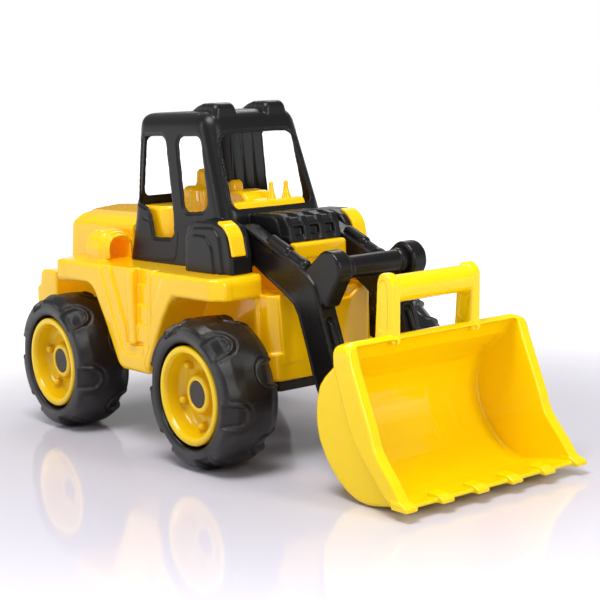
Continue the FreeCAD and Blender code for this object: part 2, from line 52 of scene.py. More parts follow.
def plastic(name, dark, light, rough, rough_var=0.04, coat=0.0, coat_rough=0.1, spec=0.5, grain=0.0, grain_scale=900.0,
            wave=0.0, wave_scale=14.0, mottle_scale=9.0, sss=0.0, painted_shade_colour=None, painted_glow_strength=0.0):
    """Moulded plastic: slow colour drift, slow waviness of the skin and a fine grain, all procedural; optionally
    painted shade, a darker orange tint where ambient occlusion finds hollows, and a painted orange glow in those
    hollows.
    """
    m, nt, b = new_mat(name)
    N, L = nt.nodes, nt.links
    tc = N.new("ShaderNodeTexCoord")
    n1 = N.new("ShaderNodeTexNoise"); n1.inputs["Scale"].default_value = mottle_scale; n1.inputs["Detail"].default_value = 3.0
    L.new(tc.outputs["Object"], n1.inputs["Vector"])
    ramp = N.new("ShaderNodeValToRGB")
    ramp.color_ramp.elements[0].position = 0.36; ramp.color_ramp.elements[0].color = (*dark, 1)
    ramp.color_ramp.elements[1].position = 0.66; ramp.color_ramp.elements[1].color = (*light, 1)
    L.new(n1.outputs["Fac"], ramp.inputs["Fac"])
    L.new(ramp.outputs["Color"], b.inputs["Base Color"])
    n2 = N.new("ShaderNodeTexNoise"); n2.inputs["Scale"].default_value = 38.0; n2.inputs["Detail"].default_value = 4.0
    L.new(tc.outputs["Object"], n2.inputs["Vector"])
    mr = N.new("ShaderNodeMapRange")
    mr.inputs["To Min"].default_value = rough - rough_var; mr.inputs["To Max"].default_value = rough + rough_var
    L.new(n2.outputs["Fac"], mr.inputs["Value"])
    L.new(mr.outputs["Result"], b.inputs["Roughness"])
    # painted shade: where ambient occlusion finds hollows, the base colour turns to the given darker orange, standing
    # in for the shade and yellow bounce light there
    if painted_shade_colour:
        ao = N.new("ShaderNodeAmbientOcclusion"); ao.inputs["Distance"].default_value = 0.10; ao.samples = 8
        rr = N.new("ShaderNodeMapRange"); rr.inputs["From Min"].default_value = 0.15; rr.inputs["From Max"].default_value = 0.85
        L.new(ao.outputs["AO"], rr.inputs["Value"])
        mx = N.new("ShaderNodeMix"); mx.data_type = "RGBA"; mx.inputs["A"].default_value = (*painted_shade_colour, 1)
        L.new(rr.outputs["Result"], mx.inputs["Factor"]); L.new(ramp.outputs["Color"], mx.inputs["B"])
        L.new(mx.outputs["Result"], b.inputs["Base Color"])
        if painted_glow_strength:
            # painted glow: orange emission where ambient occlusion finds hollows, light painted into shaded recesses in
            # place of light that thin yellow walls would let through
            gr = N.new("ShaderNodeMapRange"); gr.inputs["From Min"].default_value = 0.05; gr.inputs["From Max"].default_value = 0.42
            gr.inputs["To Min"].default_value = painted_glow_strength; gr.inputs["To Max"].default_value = 0.0
            L.new(ao.outputs["AO"], gr.inputs["Value"]); L.new(gr.outputs["Result"], b.inputs["Emission Strength"])
            b.inputs["Emission Color"].default_value = (0.95, 0.42, 0.004, 1)
    set_in(b, "Specular IOR Level", spec)
    set_in(b, "Coat Weight", coat); set_in(b, "Coat Roughness", coat_rough)
    if sss:
        set_in(b, "Subsurface Weight", sss); set_in(b, "Subsurface Radius", (0.010, 0.005, 0.0015)); set_in(b, "Subsurface Scale", 0.6)
    last = None
    if wave:
        n3 = N.new("ShaderNodeTexNoise"); n3.inputs["Scale"].default_value = wave_scale; n3.inputs["Detail"].default_value = 1.0
        L.new(tc.outputs["Object"], n3.inputs["Vector"])
        bp = N.new("ShaderNodeBump"); bp.inputs["Strength"].default_value = wave; bp.inputs["Distance"].default_value = 0.004
        L.new(n3.outputs["Fac"], bp.inputs["Height"])
        last = bp
    if grain:
        n4 = N.new("ShaderNodeTexNoise"); n4.inputs["Scale"].default_value = grain_scale; n4.inputs["Detail"].default_value = 2.0
        L.new(tc.outputs["Object"], n4.inputs["Vector"])
        bp = N.new("ShaderNodeBump"); bp.inputs["Strength"].default_value = grain; bp.inputs["Distance"].default_value = 0.0004
        L.new(n4.outputs["Fac"], bp.inputs["Height"])
        if last:
            L.new(last.outputs["Normal"], bp.inputs["Normal"])
        last = bp
    if last:
        L.new(last.outputs["Normal"], b.inputs["Normal"])
    return m

YEL_D, YEL_L = (0.885, 0.530, 0.0022), (0.91, 0.555, 0.0028)
# painted shade and painted glow: hollows of the body tinted orange and given a faint orange emission
M_YEL = plastic("yellow_gloss_plastic", YEL_D, YEL_L, 0.13, 0.02, spec=0.36, wave=0.035, wave_scale=16, grain=0.0, painted_shade_colour=(0.93, 0.43, 0.0018), painted_glow_strength=0.15)
M_BKT = plastic("yellow_bucket_plastic", (0.925, 0.632, 0.0012), (0.94, 0.652, 0.0016), 0.14, 0.02, spec=0.40, wave=0.035, wave_scale=14, grain=0.0)
# painted shade: hollows of the rims tinted darker orange
M_RIM = plastic("yellow_rim_plastic", (0.80, 0.535, 0.0025), (0.83, 0.56, 0.003), 0.17, 0.02, spec=0.38, wave=0.03, grain=0.0, painted_shade_colour=(0.66, 0.36, 0.002))
M_GRL = plastic("yellow_textured_plastic", (0.46, 0.25, 0.002), (0.53, 0.285, 0.0022), 0.38, 0.05, spec=0.08, grain=0.1, grain_scale=700)
M_BLK = plastic("black_satin_plastic", (0.0050, 0.0044, 0.0048), (0.0066, 0.0058, 0.0062), 0.33, 0.03, spec=0.27, wave=0.03, wave_scale=14, grain=0.03, grain_scale=1100)
M_ARM = plastic("black_arm_plastic", (0.0052, 0.0043, 0.0044), (0.0068, 0.0057, 0.0058), 0.28, 0.03, spec=0.27, wave=0.03, wave_scale=14, grain=0.03, grain_scale=1100)
M_FRM = plastic("black_frame_plastic", (0.013, 0.012, 0.012), (0.018, 0.016, 0.016), 0.45, 0.05, spec=0.4, grain=0.3)
M_CAP = plastic("dark_grey_cap_plastic", (0.045, 0.039, 0.041), (0.052, 0.045, 0.047), 0.50, 0.05, spec=0.3, grain=0.5, grain_scale=1500)
M_STL = plastic("zinc_steel", (0.50, 0.50, 0.52), (0.62, 0.62, 0.64), 0.32, 0.08, spec=0.5, grain=0.1)
M_STL.node_tree.nodes["Principled BSDF"].inputs["Metallic"].default_value = 1.0

def tyre_material():
    """Black blow-moulded tyre; the finish has fine slanted striations that run round the tread."""
    m = plastic("black_tyre_plastic", (0.0060, 0.0050, 0.0052), (0.0078, 0.0066, 0.0068), 0.20, 0.03, spec=0.40, wave=0.02, wave_scale=22, grain=0.03, grain_scale=800)
    nt = m.node_tree; N, L = nt.nodes, nt.links; b = N["Principled BSDF"]
    uv = N.new("ShaderNodeUVMap"); uv.uv_map = "UVMap"
    w = N.new("ShaderNodeTexWave"); w.wave_type = "BANDS"; w.bands_direction = "X"
    w.inputs["Scale"].default_value = 60.0; w.inputs["Distortion"].default_value = 2.5; w.inputs["Detail"].default_value = 2.0; w.inputs["Detail Scale"].default_value = 2.0
    L.new(uv.outputs["UV"], w.inputs["Vector"])
    bp = N.new("ShaderNodeBump"); bp.inputs["Strength"].default_value = 0.26; bp.inputs["Distance"].default_value = 0.0004
    L.new(w.outputs["Fac"], bp.inputs["Height"])
    prev = b.inputs["Normal"].links[0].from_node
    L.new(prev.outputs["Normal"], bp.inputs["Normal"]); L.new(bp.outputs["Normal"], b.inputs["Normal"])
    return m
M_TYR = tyre_material()

# ======================================================================================= outlines
def outline(pts, step=9.0):
    """Closed outline as points; a third number in a point rounds that corner with an arc."""
    out = []; n = len(pts)
    for i in range(n):
        p = pts[i]; a = pts[i - 1]; b = pts[(i + 1) % n]
        r = p[2] if len(p) > 2 else 0
        if r <= 0:
            out.append((p[0], p[1])); continue
        ux, uz = a[0] - p[0], a[1] - p[1]; vx, vz = b[0] - p[0], b[1] - p[1]
        lu, lv = math.hypot(ux, uz), math.hypot(vx, vz)
        ux, uz, vx, vz = ux / lu, uz / lu, vx / lv, vz / lv
        half = math.acos(max(-1, min(1, ux * vx + uz * vz))) / 2
        if half > math.pi / 2 - 0.01:
            out.append((p[0], p[1])); continue
        t = r / math.tan(half)
        lim = 0.49 * min(lu, lv)
        if t > lim:
            t = lim; r = t * math.tan(half)
        bx, bz = ux + vx, uz + vz; lb = math.hypot(bx, bz); bx, bz = bx / lb, bz / lb
        cx, cz = p[0] + bx * r / math.sin(half), p[1] + bz * r / math.sin(half)
        a0 = math.atan2(p[1] + uz * t - cz, p[0] + ux * t - cx); a1 = math.atan2(p[1] + vz * t - cz, p[0] + vx * t - cx)
        da = (a1 - a0 + math.pi) % (2 * math.pi) - math.pi
        k = max(2, int(abs(math.degrees(da)) / step))
        for j in range(k + 1):
            q = a0 + da * j / k
            out.append((cx + r * math.cos(q), cz + r * math.sin(q)))
    return np.array(out, float)

def smooth_line(pts, n=8):
    """Open polyline smoothed with a Catmull-Rom curve."""
    P = np.array(pts, float); out = []
    for i in range(len(P) - 1):
        p0 = P[max(i - 1, 0)]; p1 = P[i]; p2 = P[i + 1]; p3 = P[min(i + 2, len(P) - 1)]
        for t in np.arange(n) / n:
            out.append(0.5 * ((2 * p1) + (-p0 + p2) * t + (2 * p0 - 5 * p1 + 4 * p2 - p3) * t * t + (-p0 + 3 * p1 - 3 * p2 + p3) * t ** 3))
    out.append(P[-1])
    return np.array(out)

def sd_poly(P, U, W):
    """Signed distance to a closed outline, negative inside."""
    d = np.full(np.broadcast(U, W).shape, 1e12, np.float32)
    s = np.ones(d.shape, np.float32)
    n = len(P); j = n - 1
    for i in range(n):
        ex, ez = P[j][0] - P[i][0], P[j][1] - P[i][1]
        if ex * ex + ez * ez < 1e-12:
            j = i; continue
        wx, wz = U - P[i][0], W - P[i][1]
        t = np.clip((wx * ex + wz * ez) / (ex * ex + ez * ez), 0, 1)
        bx, bz = wx - ex * t, wz - ez * t
        d = np.minimum(d, bx * bx + bz * bz)
        c1 = W >= P[i][1]; c2 = W < P[j][1]; c3 = ex * wz > ez * wx
        s = np.where((c1 & c2 & c3) | (~c1 & ~c2 & ~c3), -s, s)
        j = i
    return (s * np.sqrt(d)).astype(np.float32)

def sd_line(P, U, W):
    """Distance to an open polyline."""
    d = np.full(np.broadcast(U, W).shape, 1e12, np.float32)
    for i in range(len(P) - 1):
        ex, ez = P[i + 1][0] - P[i][0], P[i + 1][1] - P[i][1]
        wx, wz = U - P[i][0], W - P[i][1]
        t = np.clip((wx * ex + wz * ez) / max(ex * ex + ez * ez, 1e-9), 0, 1)
        d = np.minimum(d, (wx - ex * t) ** 2 + (wz - ez * t) ** 2)
    return np.sqrt(d).astype(np.float32)

# ======================================================================================= solid fields
def i_round(a, b, r):
    if r <= 0:
        return np.maximum(a, b)
    return np.minimum(-r, np.maximum(a, b)) + np.sqrt(np.maximum(a + r, 0) ** 2 + np.maximum(b + r, 0) ** 2)

def u_round(a, b, r):
    if r <= 0:
        return np.minimum(a, b)
    return np.maximum(r, np.minimum(a, b)) - np.sqrt(np.maximum(r - a, 0) ** 2 + np.maximum(r - b, 0) ** 2)

class Prim:
    """A solid: f(x, y, z) gives the signed distance, box is its extent."""
    def __init__(s, f, box):
        s.f = f; s.box = box
    def __and__(s, o):
        return s.meet(o, 0)
    def meet(s, o, r=0):
        b = [max(s.box[0], o.box[0]), min(s.box[1], o.box[1]), max(s.box[2], o.box[2]), min(s.box[3], o.box[3]), max(s.box[4], o.box[4]), min(s.box[5], o.box[5])]
        return Prim(lambda x, y, z: i_round(s.f(x, y, z), o.f(x, y, z), r), b)
    def minus(s, o, r=0):
        return Prim(lambda x, y, z: i_round(s.f(x, y, z), -o.f(x, y, z), r), s.box)
    def join(s, o, r=0):
        b = [min(s.box[0], o.box[0]), max(s.box[1], o.box[1]), min(s.box[2], o.box[2]), max(s.box[3], o.box[3]), min(s.box[4], o.box[4]), max(s.box[5], o.box[5])]
        return Prim(lambda x, y, z: u_round(s.f(x, y, z), o.f(x, y, z), r), b)
    def grow(s, d):
        b = s.box
        return Prim(lambda x, y, z: s.f(x, y, z) - d, [b[0] - d, b[1] + d, b[2] - d, b[3] + d, b[4] - d, b[5] + d])

def XZ(pts, y0, y1, r=0.0, off=0.0):
    P = outline(pts) if not isinstance(pts, np.ndarray) else pts
    yc, hy = (y0 + y1) / 2, (y1 - y0) / 2
    return Prim(lambda x, y, z: i_round(sd_poly(P, x, z) - off, np.abs(y - yc) - hy, r),
                [P[:, 0].min() - off, P[:, 0].max() + off, y0, y1, P[:, 1].min() - off, P[:, 1].max() + off])

def YZ(pts, x0, x1, r=0.0, off=0.0):
    P = outline(pts) if not isinstance(pts, np.ndarray) else pts
    xc, hx = (x0 + x1) / 2, (x1 - x0) / 2
    return Prim(lambda x, y, z: i_round(sd_poly(P, y, z) - off, np.abs(x - xc) - hx, r),
                [x0, x1, P[:, 0].min() - off, P[:, 0].max() + off, P[:, 1].min() - off, P[:, 1].max() + off])

def XY(pts, z0, z1, r=0.0, off=0.0):
    P = outline(pts) if not isinstance(pts, np.ndarray) else pts
    zc, hz = (z0 + z1) / 2, (z1 - z0) / 2
    return Prim(lambda x, y, z: i_round(sd_poly(P, x, y) - off, np.abs(z - zc) - hz, r),
                [P[:, 0].min() - off, P[:, 0].max() + off, P[:, 1].min() - off, P[:, 1].max() + off, z0, z1])

def BOX(x0, x1, y0, y1, z0, z1, r=0.0):
    c = ((x0 + x1) / 2, (y0 + y1) / 2, (z0 + z1) / 2); h = ((x1 - x0) / 2 - r, (y1 - y0) / 2 - r, (z1 - z0) / 2 - r)
    def f(x, y, z):
        a, b, d = np.abs(x - c[0]) - h[0], np.abs(y - c[1]) - h[1], np.abs(z - c[2]) - h[2]
        return np.sqrt(np.maximum(a, 0) ** 2 + np.maximum(b, 0) ** 2 + np.maximum(d, 0) ** 2) + np.minimum(np.maximum(np.maximum(a, b), d), 0) - r
    return Prim(f, [x0, x1, y0, y1, z0, z1])

def CYLY(x, z, rad, y0, y1, r=0.0, cone=0.0):
    """Round bar along y; cone makes the far end (y1) thicker by that much."""
    yc, hy = (y0 + y1) / 2, (y1 - y0) / 2
    def f(X, Y, Z):
        q = np.sqrt((X - x) ** 2 + (Z - z) ** 2) - rad
        if cone:
            q = q - cone * (Y - y0) / (y1 - y0)
        return i_round(q, np.abs(Y - yc) - hy, r)
    m = rad + abs(cone)
    return Prim(f, [x - m, x + m, y0, y1, z - m, z + m])

def CAPS(a, b, rad, rad2=None):
    """Bar with round ends from a to b."""
    a = np.array(a, float); b = np.array(b, float); e = b - a; l2 = float((e * e).sum()); r2 = rad if rad2 is None else rad2
    def f(x, y, z):
        t = np.clip(((x - a[0]) * e[0] + (y - a[1]) * e[1] + (z - a[2]) * e[2]) / l2, 0, 1)
        return np.sqrt((x - a[0] - e[0] * t) ** 2 + (y - a[1] - e[1] * t) ** 2 + (z - a[2] - e[2] * t) ** 2) - (rad + (r2 - rad) * t)
    m = max(rad, r2)
    return Prim(f, [min(a[0], b[0]) - m, max(a[0], b[0]) + m, min(a[1], b[1]) - m, max(a[1], b[1]) + m, min(a[2], b[2]) - m, max(a[2], b[2]) + m])

def TUBE_XZ(line, width, y0, y1, r=0.0):
    """A band of the given width that follows a line in the side view."""
    P = np.array(line, float)
    yc, hy = (y0 + y1) / 2, (y1 - y0) / 2
    return Prim(lambda x, y, z: i_round(sd_line(P, x, z) - width / 2, np.abs(y - yc) - hy, r),
                [P[:, 0].min() - width, P[:, 0].max() + width, y0, y1, P[:, 1].min() - width, P[:, 1].max() + width])

class Field:
    def __init__(s, lo, hi, h, half=True):
        s.h = h; s.half = half
        s.x = np.arange(lo[0] - 3 * h, hi[0] + 4 * h, h, dtype=np.float32)
        s.y = np.arange(0 if half else lo[1] - 3 * h, hi[1] + 4 * h, h, dtype=np.float32)
        s.z = np.arange(lo[2] - 3 * h, hi[2] + 4 * h, h, dtype=np.float32)
        s.v = np.full((len(s.x), len(s.y), len(s.z)), 30.0, np.float32)
    def _win(s, box, pad):
        def rng(a, lo, hi):
            return slice(max(int(np.searchsorted(a, lo - pad)) - 1, 0), min(int(np.searchsorted(a, hi + pad)) + 1, len(a)))
        return rng(s.x, box[0], box[1]), rng(s.y, box[2], box[3]), rng(s.z, box[4], box[5])
    def _values(s, p, w):
        return p.f(s.x[w[0]][:, None, None], s.y[w[1]][None, :, None], s.z[w[2]][None, None, :])
    def add(s, p, r=0.0):
        w = s._win(p.box, r + 3 * s.h + 2)
        if any(k.stop - k.start <= 0 for k in w): return s
        s.v[w] = u_round(s.v[w], np.broadcast_to(s._values(p, w), s.v[w].shape), r)
        return s
    def cut(s, p, r=0.0):
        w = s._win(p.box, r + 3 * s.h + 2)
        if any(k.stop - k.start <= 0 for k in w): return s
        s.v[w] = i_round(s.v[w], -np.broadcast_to(s._values(p, w), s.v[w].shape), r)
        return s
    def keep(s, p, r=0.0):
        w = (slice(None),) * 3
        s.v = i_round(s.v, s._values(p, w), r).astype(np.float32)
        return s
    def soften(s, n):
        """Rounds off creases that the profiles leave."""
        for _ in range(n):
            for ax in range(3):
                a = np.moveaxis(s.v, ax, 0)
                a[1:-1] = 0.25 * a[:-2] + 0.5 * a[1:-1] + 0.25 * a[2:]
        return s
    def hollow(s, t, r=0.0):
        s.v = i_round(s.v, -(s.v + t), r).astype(np.float32)
        return s
    def whole(s):
        """Value array and origin of the full model, mirrored when only half was made."""
        v = s.v
        o = np.array([s.x[0], s.y[0], s.z[0]], float)
        if s.half:
            v = np.concatenate([v[:, :0:-1, :], v], axis=1)
            o[1] = -float(s.y[-1])
        return v, o

def sample(v, o, h, P):
    """Trilinear reading of the field at points P."""
    g = (P - o) / h
    i = np.clip(np.floor(g).astype(np.int64), 0, np.array(v.shape) - 2)
    t = (g - i).astype(np.float32)
    ny, nz = v.shape[1], v.shape[2]
    base = (i[:, 0] * ny + i[:, 1]) * nz + i[:, 2]
    f = v.ravel(); out = 0
    for dx in (0, 1):
        wx = t[:, 0] if dx else 1 - t[:, 0]
        for dy in (0, 1):
            wy = t[:, 1] if dy else 1 - t[:, 1]
            for dz in (0, 1):
                wz = t[:, 2] if dz else 1 - t[:, 2]
                out = out + wx * wy * wz * f[base + (dx * ny + dy) * nz + dz]
    return out

def skin_of(v, o, h):
    """Quad skin of the zero level, one point per crossed cell."""
    nx, ny, nz = v.shape
    s = v < 0
    c = s[:-1, :-1, :-1].astype(np.int8)
    for dx in (0, 1):
        for dy in (0, 1):
            for dz in (0, 1):
                if dx or dy or dz:
                    c = c + s[dx:nx - 1 + dx, dy:ny - 1 + dy, dz:nz - 1 + dz]
    act = (c > 0) & (c < 8)
    ids = np.argwhere(act)
    vid = np.full(act.shape, -1, np.int32); vid[act] = np.arange(len(ids), dtype=np.int32)
    i, j, k = ids.T
    acc = np.zeros((len(ids), 3), np.float64); cnt = np.zeros(len(ids))
    for ax in range(3):
        for a in (0, 1):
            for b in (0, 1):
                d0 = [0, 0, 0]; d0[(ax + 1) % 3] = a; d0[(ax + 2) % 3] = b
                d1 = list(d0); d1[ax] = 1
                v0 = v[i + d0[0], j + d0[1], k + d0[2]]; v1 = v[i + d1[0], j + d1[1], k + d1[2]]
                m = (v0 < 0) != (v1 < 0)
                t = np.where(m, v0 / np.where(m, v0 - v1, 1), 0)
                p = np.array(d0, float)[None, :].repeat(len(ids), 0); p[:, ax] = t
                acc[m] += p[m]; cnt[m] += 1
    P = o + (ids + acc / cnt[:, None]) * h
    quads = []
    for ax in range(3):
        sl0 = [slice(None)] * 3; sl1 = [slice(None)] * 3
        sl0[ax] = slice(0, -1); sl1[ax] = slice(1, None)
        x = s[tuple(sl0)] != s[tuple(sl1)]
        b_, c_ = (ax + 1) % 3, (ax + 2) % 3
        e = np.argwhere(x)
        ok = (e[:, b_] > 0) & (e[:, c_] > 0) & (e[:, b_] < v.shape[b_] - 1) & (e[:, c_] < v.shape[c_] - 1)
        e = e[ok]
        ins = s[e[:, 0], e[:, 1], e[:, 2]]
        def cell(db, dc):
            q = e.copy(); q[:, b_] += db; q[:, c_] += dc
            return vid[q[:, 0], q[:, 1], q[:, 2]]
        Q = np.stack([cell(-1, -1), cell(0, -1), cell(0, 0), cell(-1, 0)], 1)
        Q[~ins] = Q[~ins][:, ::-1]
        quads.append(Q)
    Q = np.concatenate(quads)
    Q = Q[(Q >= 0).all(1)]
    return P, Q

def mesh_object(name, P, Q, mat, normals=None, uv=None):
    """P in mm measured from the front axle; Q quads."""
    me = bpy.data.meshes.new(name)
    P = (np.asarray(P, float) + np.array([FX, 0, 0])) / 1000.0
    Q = np.asarray(Q)
    me.vertices.add(len(P)); me.vertices.foreach_set("co", P.astype(np.float32).ravel())
    k = Q.shape[1]
    me.loops.add(Q.size); me.loops.foreach_set("vertex_index", Q.astype(np.int32).ravel())
    me.polygons.add(len(Q)); me.polygons.foreach_set("loop_start", np.arange(0, Q.size, k, dtype=np.int32))
    me.polygons.foreach_set("loop_total", np.full(len(Q), k, np.int32))
    me.polygons.foreach_set("use_smooth", np.ones(len(Q), bool))
    me.update(calc_edges=True); me.validate()
    if uv is not None:
        l = me.uv_layers.new(name="UVMap"); l.data.foreach_set("uv", np.asarray(uv)[Q.ravel()].astype(np.float32).ravel())
    if normals is not None:
        me.normals_split_custom_set_from_vertices([tuple(n) for n in normals.tolist()])
    ob = bpy.data.objects.new(name, me)
    bpy.context.scene.collection.objects.link(ob)
    me.materials.append(mat)
    return ob

def build(name, fld, mat, body, nodes):
    v, o = fld.whole(); h = fld.h
    P, Q = skin_of(v, o, h)
    e = 0.6 * h; G = []
    for ax in range(3):
        d = np.zeros(3); d[ax] = e
        G.append(sample(v, o, h, P + d) - sample(v, o, h, P - d))
    G = np.stack(G, 1); L = np.linalg.norm(G, axis=1)
    N = G / np.maximum(L, 1e-9)[:, None]
    # settle the points on the surface
    for _ in range(2):
        dist = sample(v, o, h, P)
        step = np.clip(dist / np.maximum(L / (2 * e), 0.5), -0.35 * h, 0.35 * h)
        P = P - N * step[:, None]
    ob = mesh_object(name, P, Q, mat, normals=N)
    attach(ob, body)
    if nodes:
        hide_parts(*nodes)
    return ob

# ======================================================================================= body shell
side_outline = [(25, 190.5, 9), (25, 167, 4), (-57, 167, 26), (-79, 136, 40), (-106, 92, 16), (-109, 79, 13), (-171, 79, 16), (-195, 124, 30),
                (-222, 167, 22), (-302.5, 167, 5), (-297, 190.5, 5)]
bumper_outline = [(-340, 96, 3), (-388, 96, 8), (-391, 118, 6), (-390, 149, 5), (-381, 154, 4), (-377, 171, 7), (-340, 171)]
hood_top = [(-60, 150), (-60, 226, 9), (-50, 235, 10), (-35, 238.5, 40), (0, 241.5, 60), (35, 238.5, 40), (50, 235, 10), (60, 226, 9), (60, 150)]
hood_side = [(-376, 150), (-376, 171.2), (-367, 224, 13), (-352, 246), (-226, 246), (-226, 150)]
pod = [(-99, 186), (-99, 204, 6), (-96.5, 214, 8), (-90, 221.5, 9), (-77, 225, 14), (-64, 221.5, 9), (-56, 212), (-56, 186)]

def body_shell():
    f = Field((-392, 0, 74), (46, 122.5, 243), 1.4)
    f.add(BOX(-330, 21, -70, 70, 83.5, 190.5, 3))
    f.add(BOX(-374, -320, -70, 70, 83.5, 171, 3), 1)
    f.add(XY([(-20, -66), (34, -66, 4), (41.5, -57, 4), (41.5, 57, 4), (34, 66, 4), (-20, 66)], 83.2, 170, 1.5), 1)
    f.add(XY([(10, -66.5), (43.8, -66.5, 8), (43.8, 66.5, 8), (10, 66.5)], 83.2, 111.5, 2.2), 1.6)
    f.add(BOX(-32.7, 41.5, -33.7, 33.7, 120, 219, 3.5), 1)
    # fenders, skirts and deck in one block, its vertical front corner well rounded
    plan = outline([(-340, 50), (-340, 58), (-327, 61, 8), (-317, 92, 12), (-300, 119.6, 9), (13, 120, 6), (25, 108, 6), (25, 50)])
    side = outline(side_outline)
    deck = XZ([(-345, 190.5), (-345, 167), (-280, 167), (-280, 190.5)], 0, 130)
    f.add(deck.meet(Prim(lambda x, y, z: sd_poly(plan, x, y), [-345, -240, 0, 120, 0, 400]), 4.5), 1)
    f.add(XZ(side, 62, 140).meet(Prim(lambda x, y, z: sd_poly(plan, x, y), [-345, 25, 62, 120, 0, 400]), 5.0), 1.5)
    # hood and bumper
    f.add(YZ(hood_top, -400, -226).meet(XZ(hood_side, -90, 90), 5.5), 2.0)
    f.add(XZ(bumper_outline, -100, 100, 3.5), 2.0)
    f.add(BOX(-384, -362, 52, 88, 150, 168.5, 3.5), 1.5)
    # slots for the arms: their floor is the top of the nose
    f.cut(BOX(-33, 62, 33.7, 62, 170, 262), 1.6)
    f.add(BOX(-36, -33, 0, 64.5, 165, 190.3, 0.8), 0.8)
    # nose: vertical ribs at the corners, raised front panel with rounded top corners
    f.add(YZ([(-68.0, 188.0, 3), (-61.8, 188.0, 3), (-60.2, 84), (-64.6, 84)], 33, 43.2, 2.9), 3.0)
    f.add(YZ([(-78.0, 189.0, 2), (-62.5, 189.3, 2), (-62.5, 84), (-75.3, 84)], 14, 33, 4.5), 4.0)
    f.add(YZ([(-55.5, 100), (-58.8, 170, 5), (-52, 171, 3), (-33, 158, 8), (33, 158, 8), (52, 171, 3), (58.8, 170, 5), (55.5, 100)], 38, 44.4, 1.6), 1.0)
    f.cut(YZ([(-20, 181, 4), (-22, 203, 4), (22, 203, 4), (20, 181, 4)], 40.3, 50, 0.4), 0.8)
    # band that follows the front wheel arch
    f.add(XZ([(24.6, 190.2, 9), (-46, 190.3, 5), (-72.7, 187.4, 10), (-80.5, 174.4, 30), (-88.7, 158, 30), (-97.2, 139.7, 30), (-105.1, 112.3, 20), (-119, 90, 8), (-112, 80, 6), (-104, 92),
              (-75, 143), (-54, 167.5), (24.6, 167.5)], 100, 140).meet(XZ(side, 62, 140), 0).meet(Prim(lambda x, y, z: sd_poly(plan, x, y) - 1.1, [-130, 26.2, 100, 121.2, 0, 400]), 3.6), 0.8)
    # skirt: two sunk fields, column, stair recess with four steps, leaning column
    f.cut(XZ([(-200.6, 200), (-200.6, 188), (-161, 99, 3), (-155, 97.2, 3), (-122, 97.2, 3), (-117.5, 108.2, 2), (-133, 109.5), (-133, 200)], 118.2, 124), 1.0)
    f.cut(XZ([(-183.8, 200), (-183.8, 189), (-156.4, 127), (-153.8, 107.9, 2), (-121, 107.9, 2), (-119.5, 112, 2), (-144.4, 113), (-144.4, 200)], 115.6, 124), 1.0)
    f.add(BOX(-144.4, -132.2, 108, 121.6, 109.6, 191.4, 1.6), 0.6)
    for z0, z1, dep in ((174, 200, 8.6), (152.5, 174, 6.5), (131.5, 152.5, 4.4), (109.6, 131.5, 2.3)):
        f.cut(XZ([(-131.6, z0), (-107.5 + (z0 - 110) * 0.085, z0), (-107.5 + (z1 - 110) * 0.085, z1), (-131.6, z1)], 120 - dep, 126), 0.7)
    f.add(XZ([(-107.5, 109.5, 2), (-100.6, 191.2, 1), (-93.6, 191.2, 1), (-100.5, 109.5, 2)], 108, 121.1, 1.4), 0.8)
    # pods behind the cab: arched box with dimples, stepped collar and an opening towards the cab
    P = outline([(-y, z, *r) for y, z, *r in pod])
    f.add(YZ(P, -266, -236.0, 3.2), 1.6)
    f.add(YZ(P, -240, -229.4, 2.2, off=-2.8), 0.8)
    f.add(YZ(P, -234, -224.6, 2.0, off=-5.6), 0.8)
    H = outline([(p[0], p[1] if p[1] > 190 else 176.0) for p in P])
    f.cut(YZ(H, -256, -215, 2.0, off=-8.8).meet(BOX(-260, -200, 40, 120, 191.0, 240), 0), 1.2)
    for dx, dy, dz in ((-258.5, 85.5, 226.0), (-246.5, 85.5, 226.0), (-247.5, 72.5, 227.2), (-258.5, 72.5, 227.2)):
        f.cut(CAPS((dx - 1.2, dy, dz), (dx + 1.2, dy, dz), 4.6), 0.9)
    return build("body", f, M_YEL, "chassis", ["body_shell"])

# ======================================================================================= hood grille (fine cross ribs)
def hood_grille():
    prof = outline(hood_top)
    ys = np.linspace(-34.5, 34.5, 185); xs = np.linspace(-362, -229, 355)
    top = {}
    def crown(y):
        a = np.abs(y)
        return np.where(a < 35, 241.5 - 3.0 * (a / 35) ** 1.15, 238.5 - (a - 35) / 15 * 3.5)
    X, Y = np.meshgrid(xs, ys, indexing="ij")
    edge = np.minimum(np.minimum(X - xs[0], xs[-1] - X), np.minimum(Y - ys[0], ys[-1] - Y))
    rise = np.clip(edge / 1.4, 0, 1)
    rib = 0.5 + 0.5 * np.cos(2 * np.pi * (X + 0.45 * Y) / 5.2); rib2 = 0.5 + 0.5 * np.cos(2 * np.pi * (Y) / 3.4)
    Z = crown(Y) - 1.2 + rise * (1.3 + 0.85 * np.clip(rib * 1.5 - 0.2, 0, 1) * (0.35 + 0.65 * np.clip(rib2 * 1.6 - 0.2, 0, 1)))
    # the rear end follows the rounded edge of the hood
    Z = Z - np.clip((-352 - X) / 10, 0, 1) ** 2 * 2.2
    n, m = X.shape
    P = np.stack([X, Y, Z], -1).reshape(-1, 3)
    idx = np.arange(n * m).reshape(n, m)
    Q = np.stack([idx[:-1, :-1], idx[1:, :-1], idx[1:, 1:], idx[:-1, 1:]], -1).reshape(-1, 4)
    # closed underneath
    P2 = P.copy(); P2[:, 2] = (crown(Y) - 2.6 - np.clip((-352 - X) / 10, 0, 1) ** 2 * 2.2).reshape(-1)
    ring = np.concatenate([idx[0, :], idx[1:, -1], idx[-1, -2::-1], idx[-2:0:-1, 0]])
    nr = len(ring); k = n * m
    S = np.stack([ring, ring + k, np.roll(ring, -1) + k, np.roll(ring, -1)], -1)
    Qb = Q[:, ::-1] + k
    ob = mesh_object("hood_grille", np.concatenate([P, P2]), np.concatenate([Q, Qb, S[:, ::-1]]), M_GRL)
    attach(ob, "chassis")
    return ob

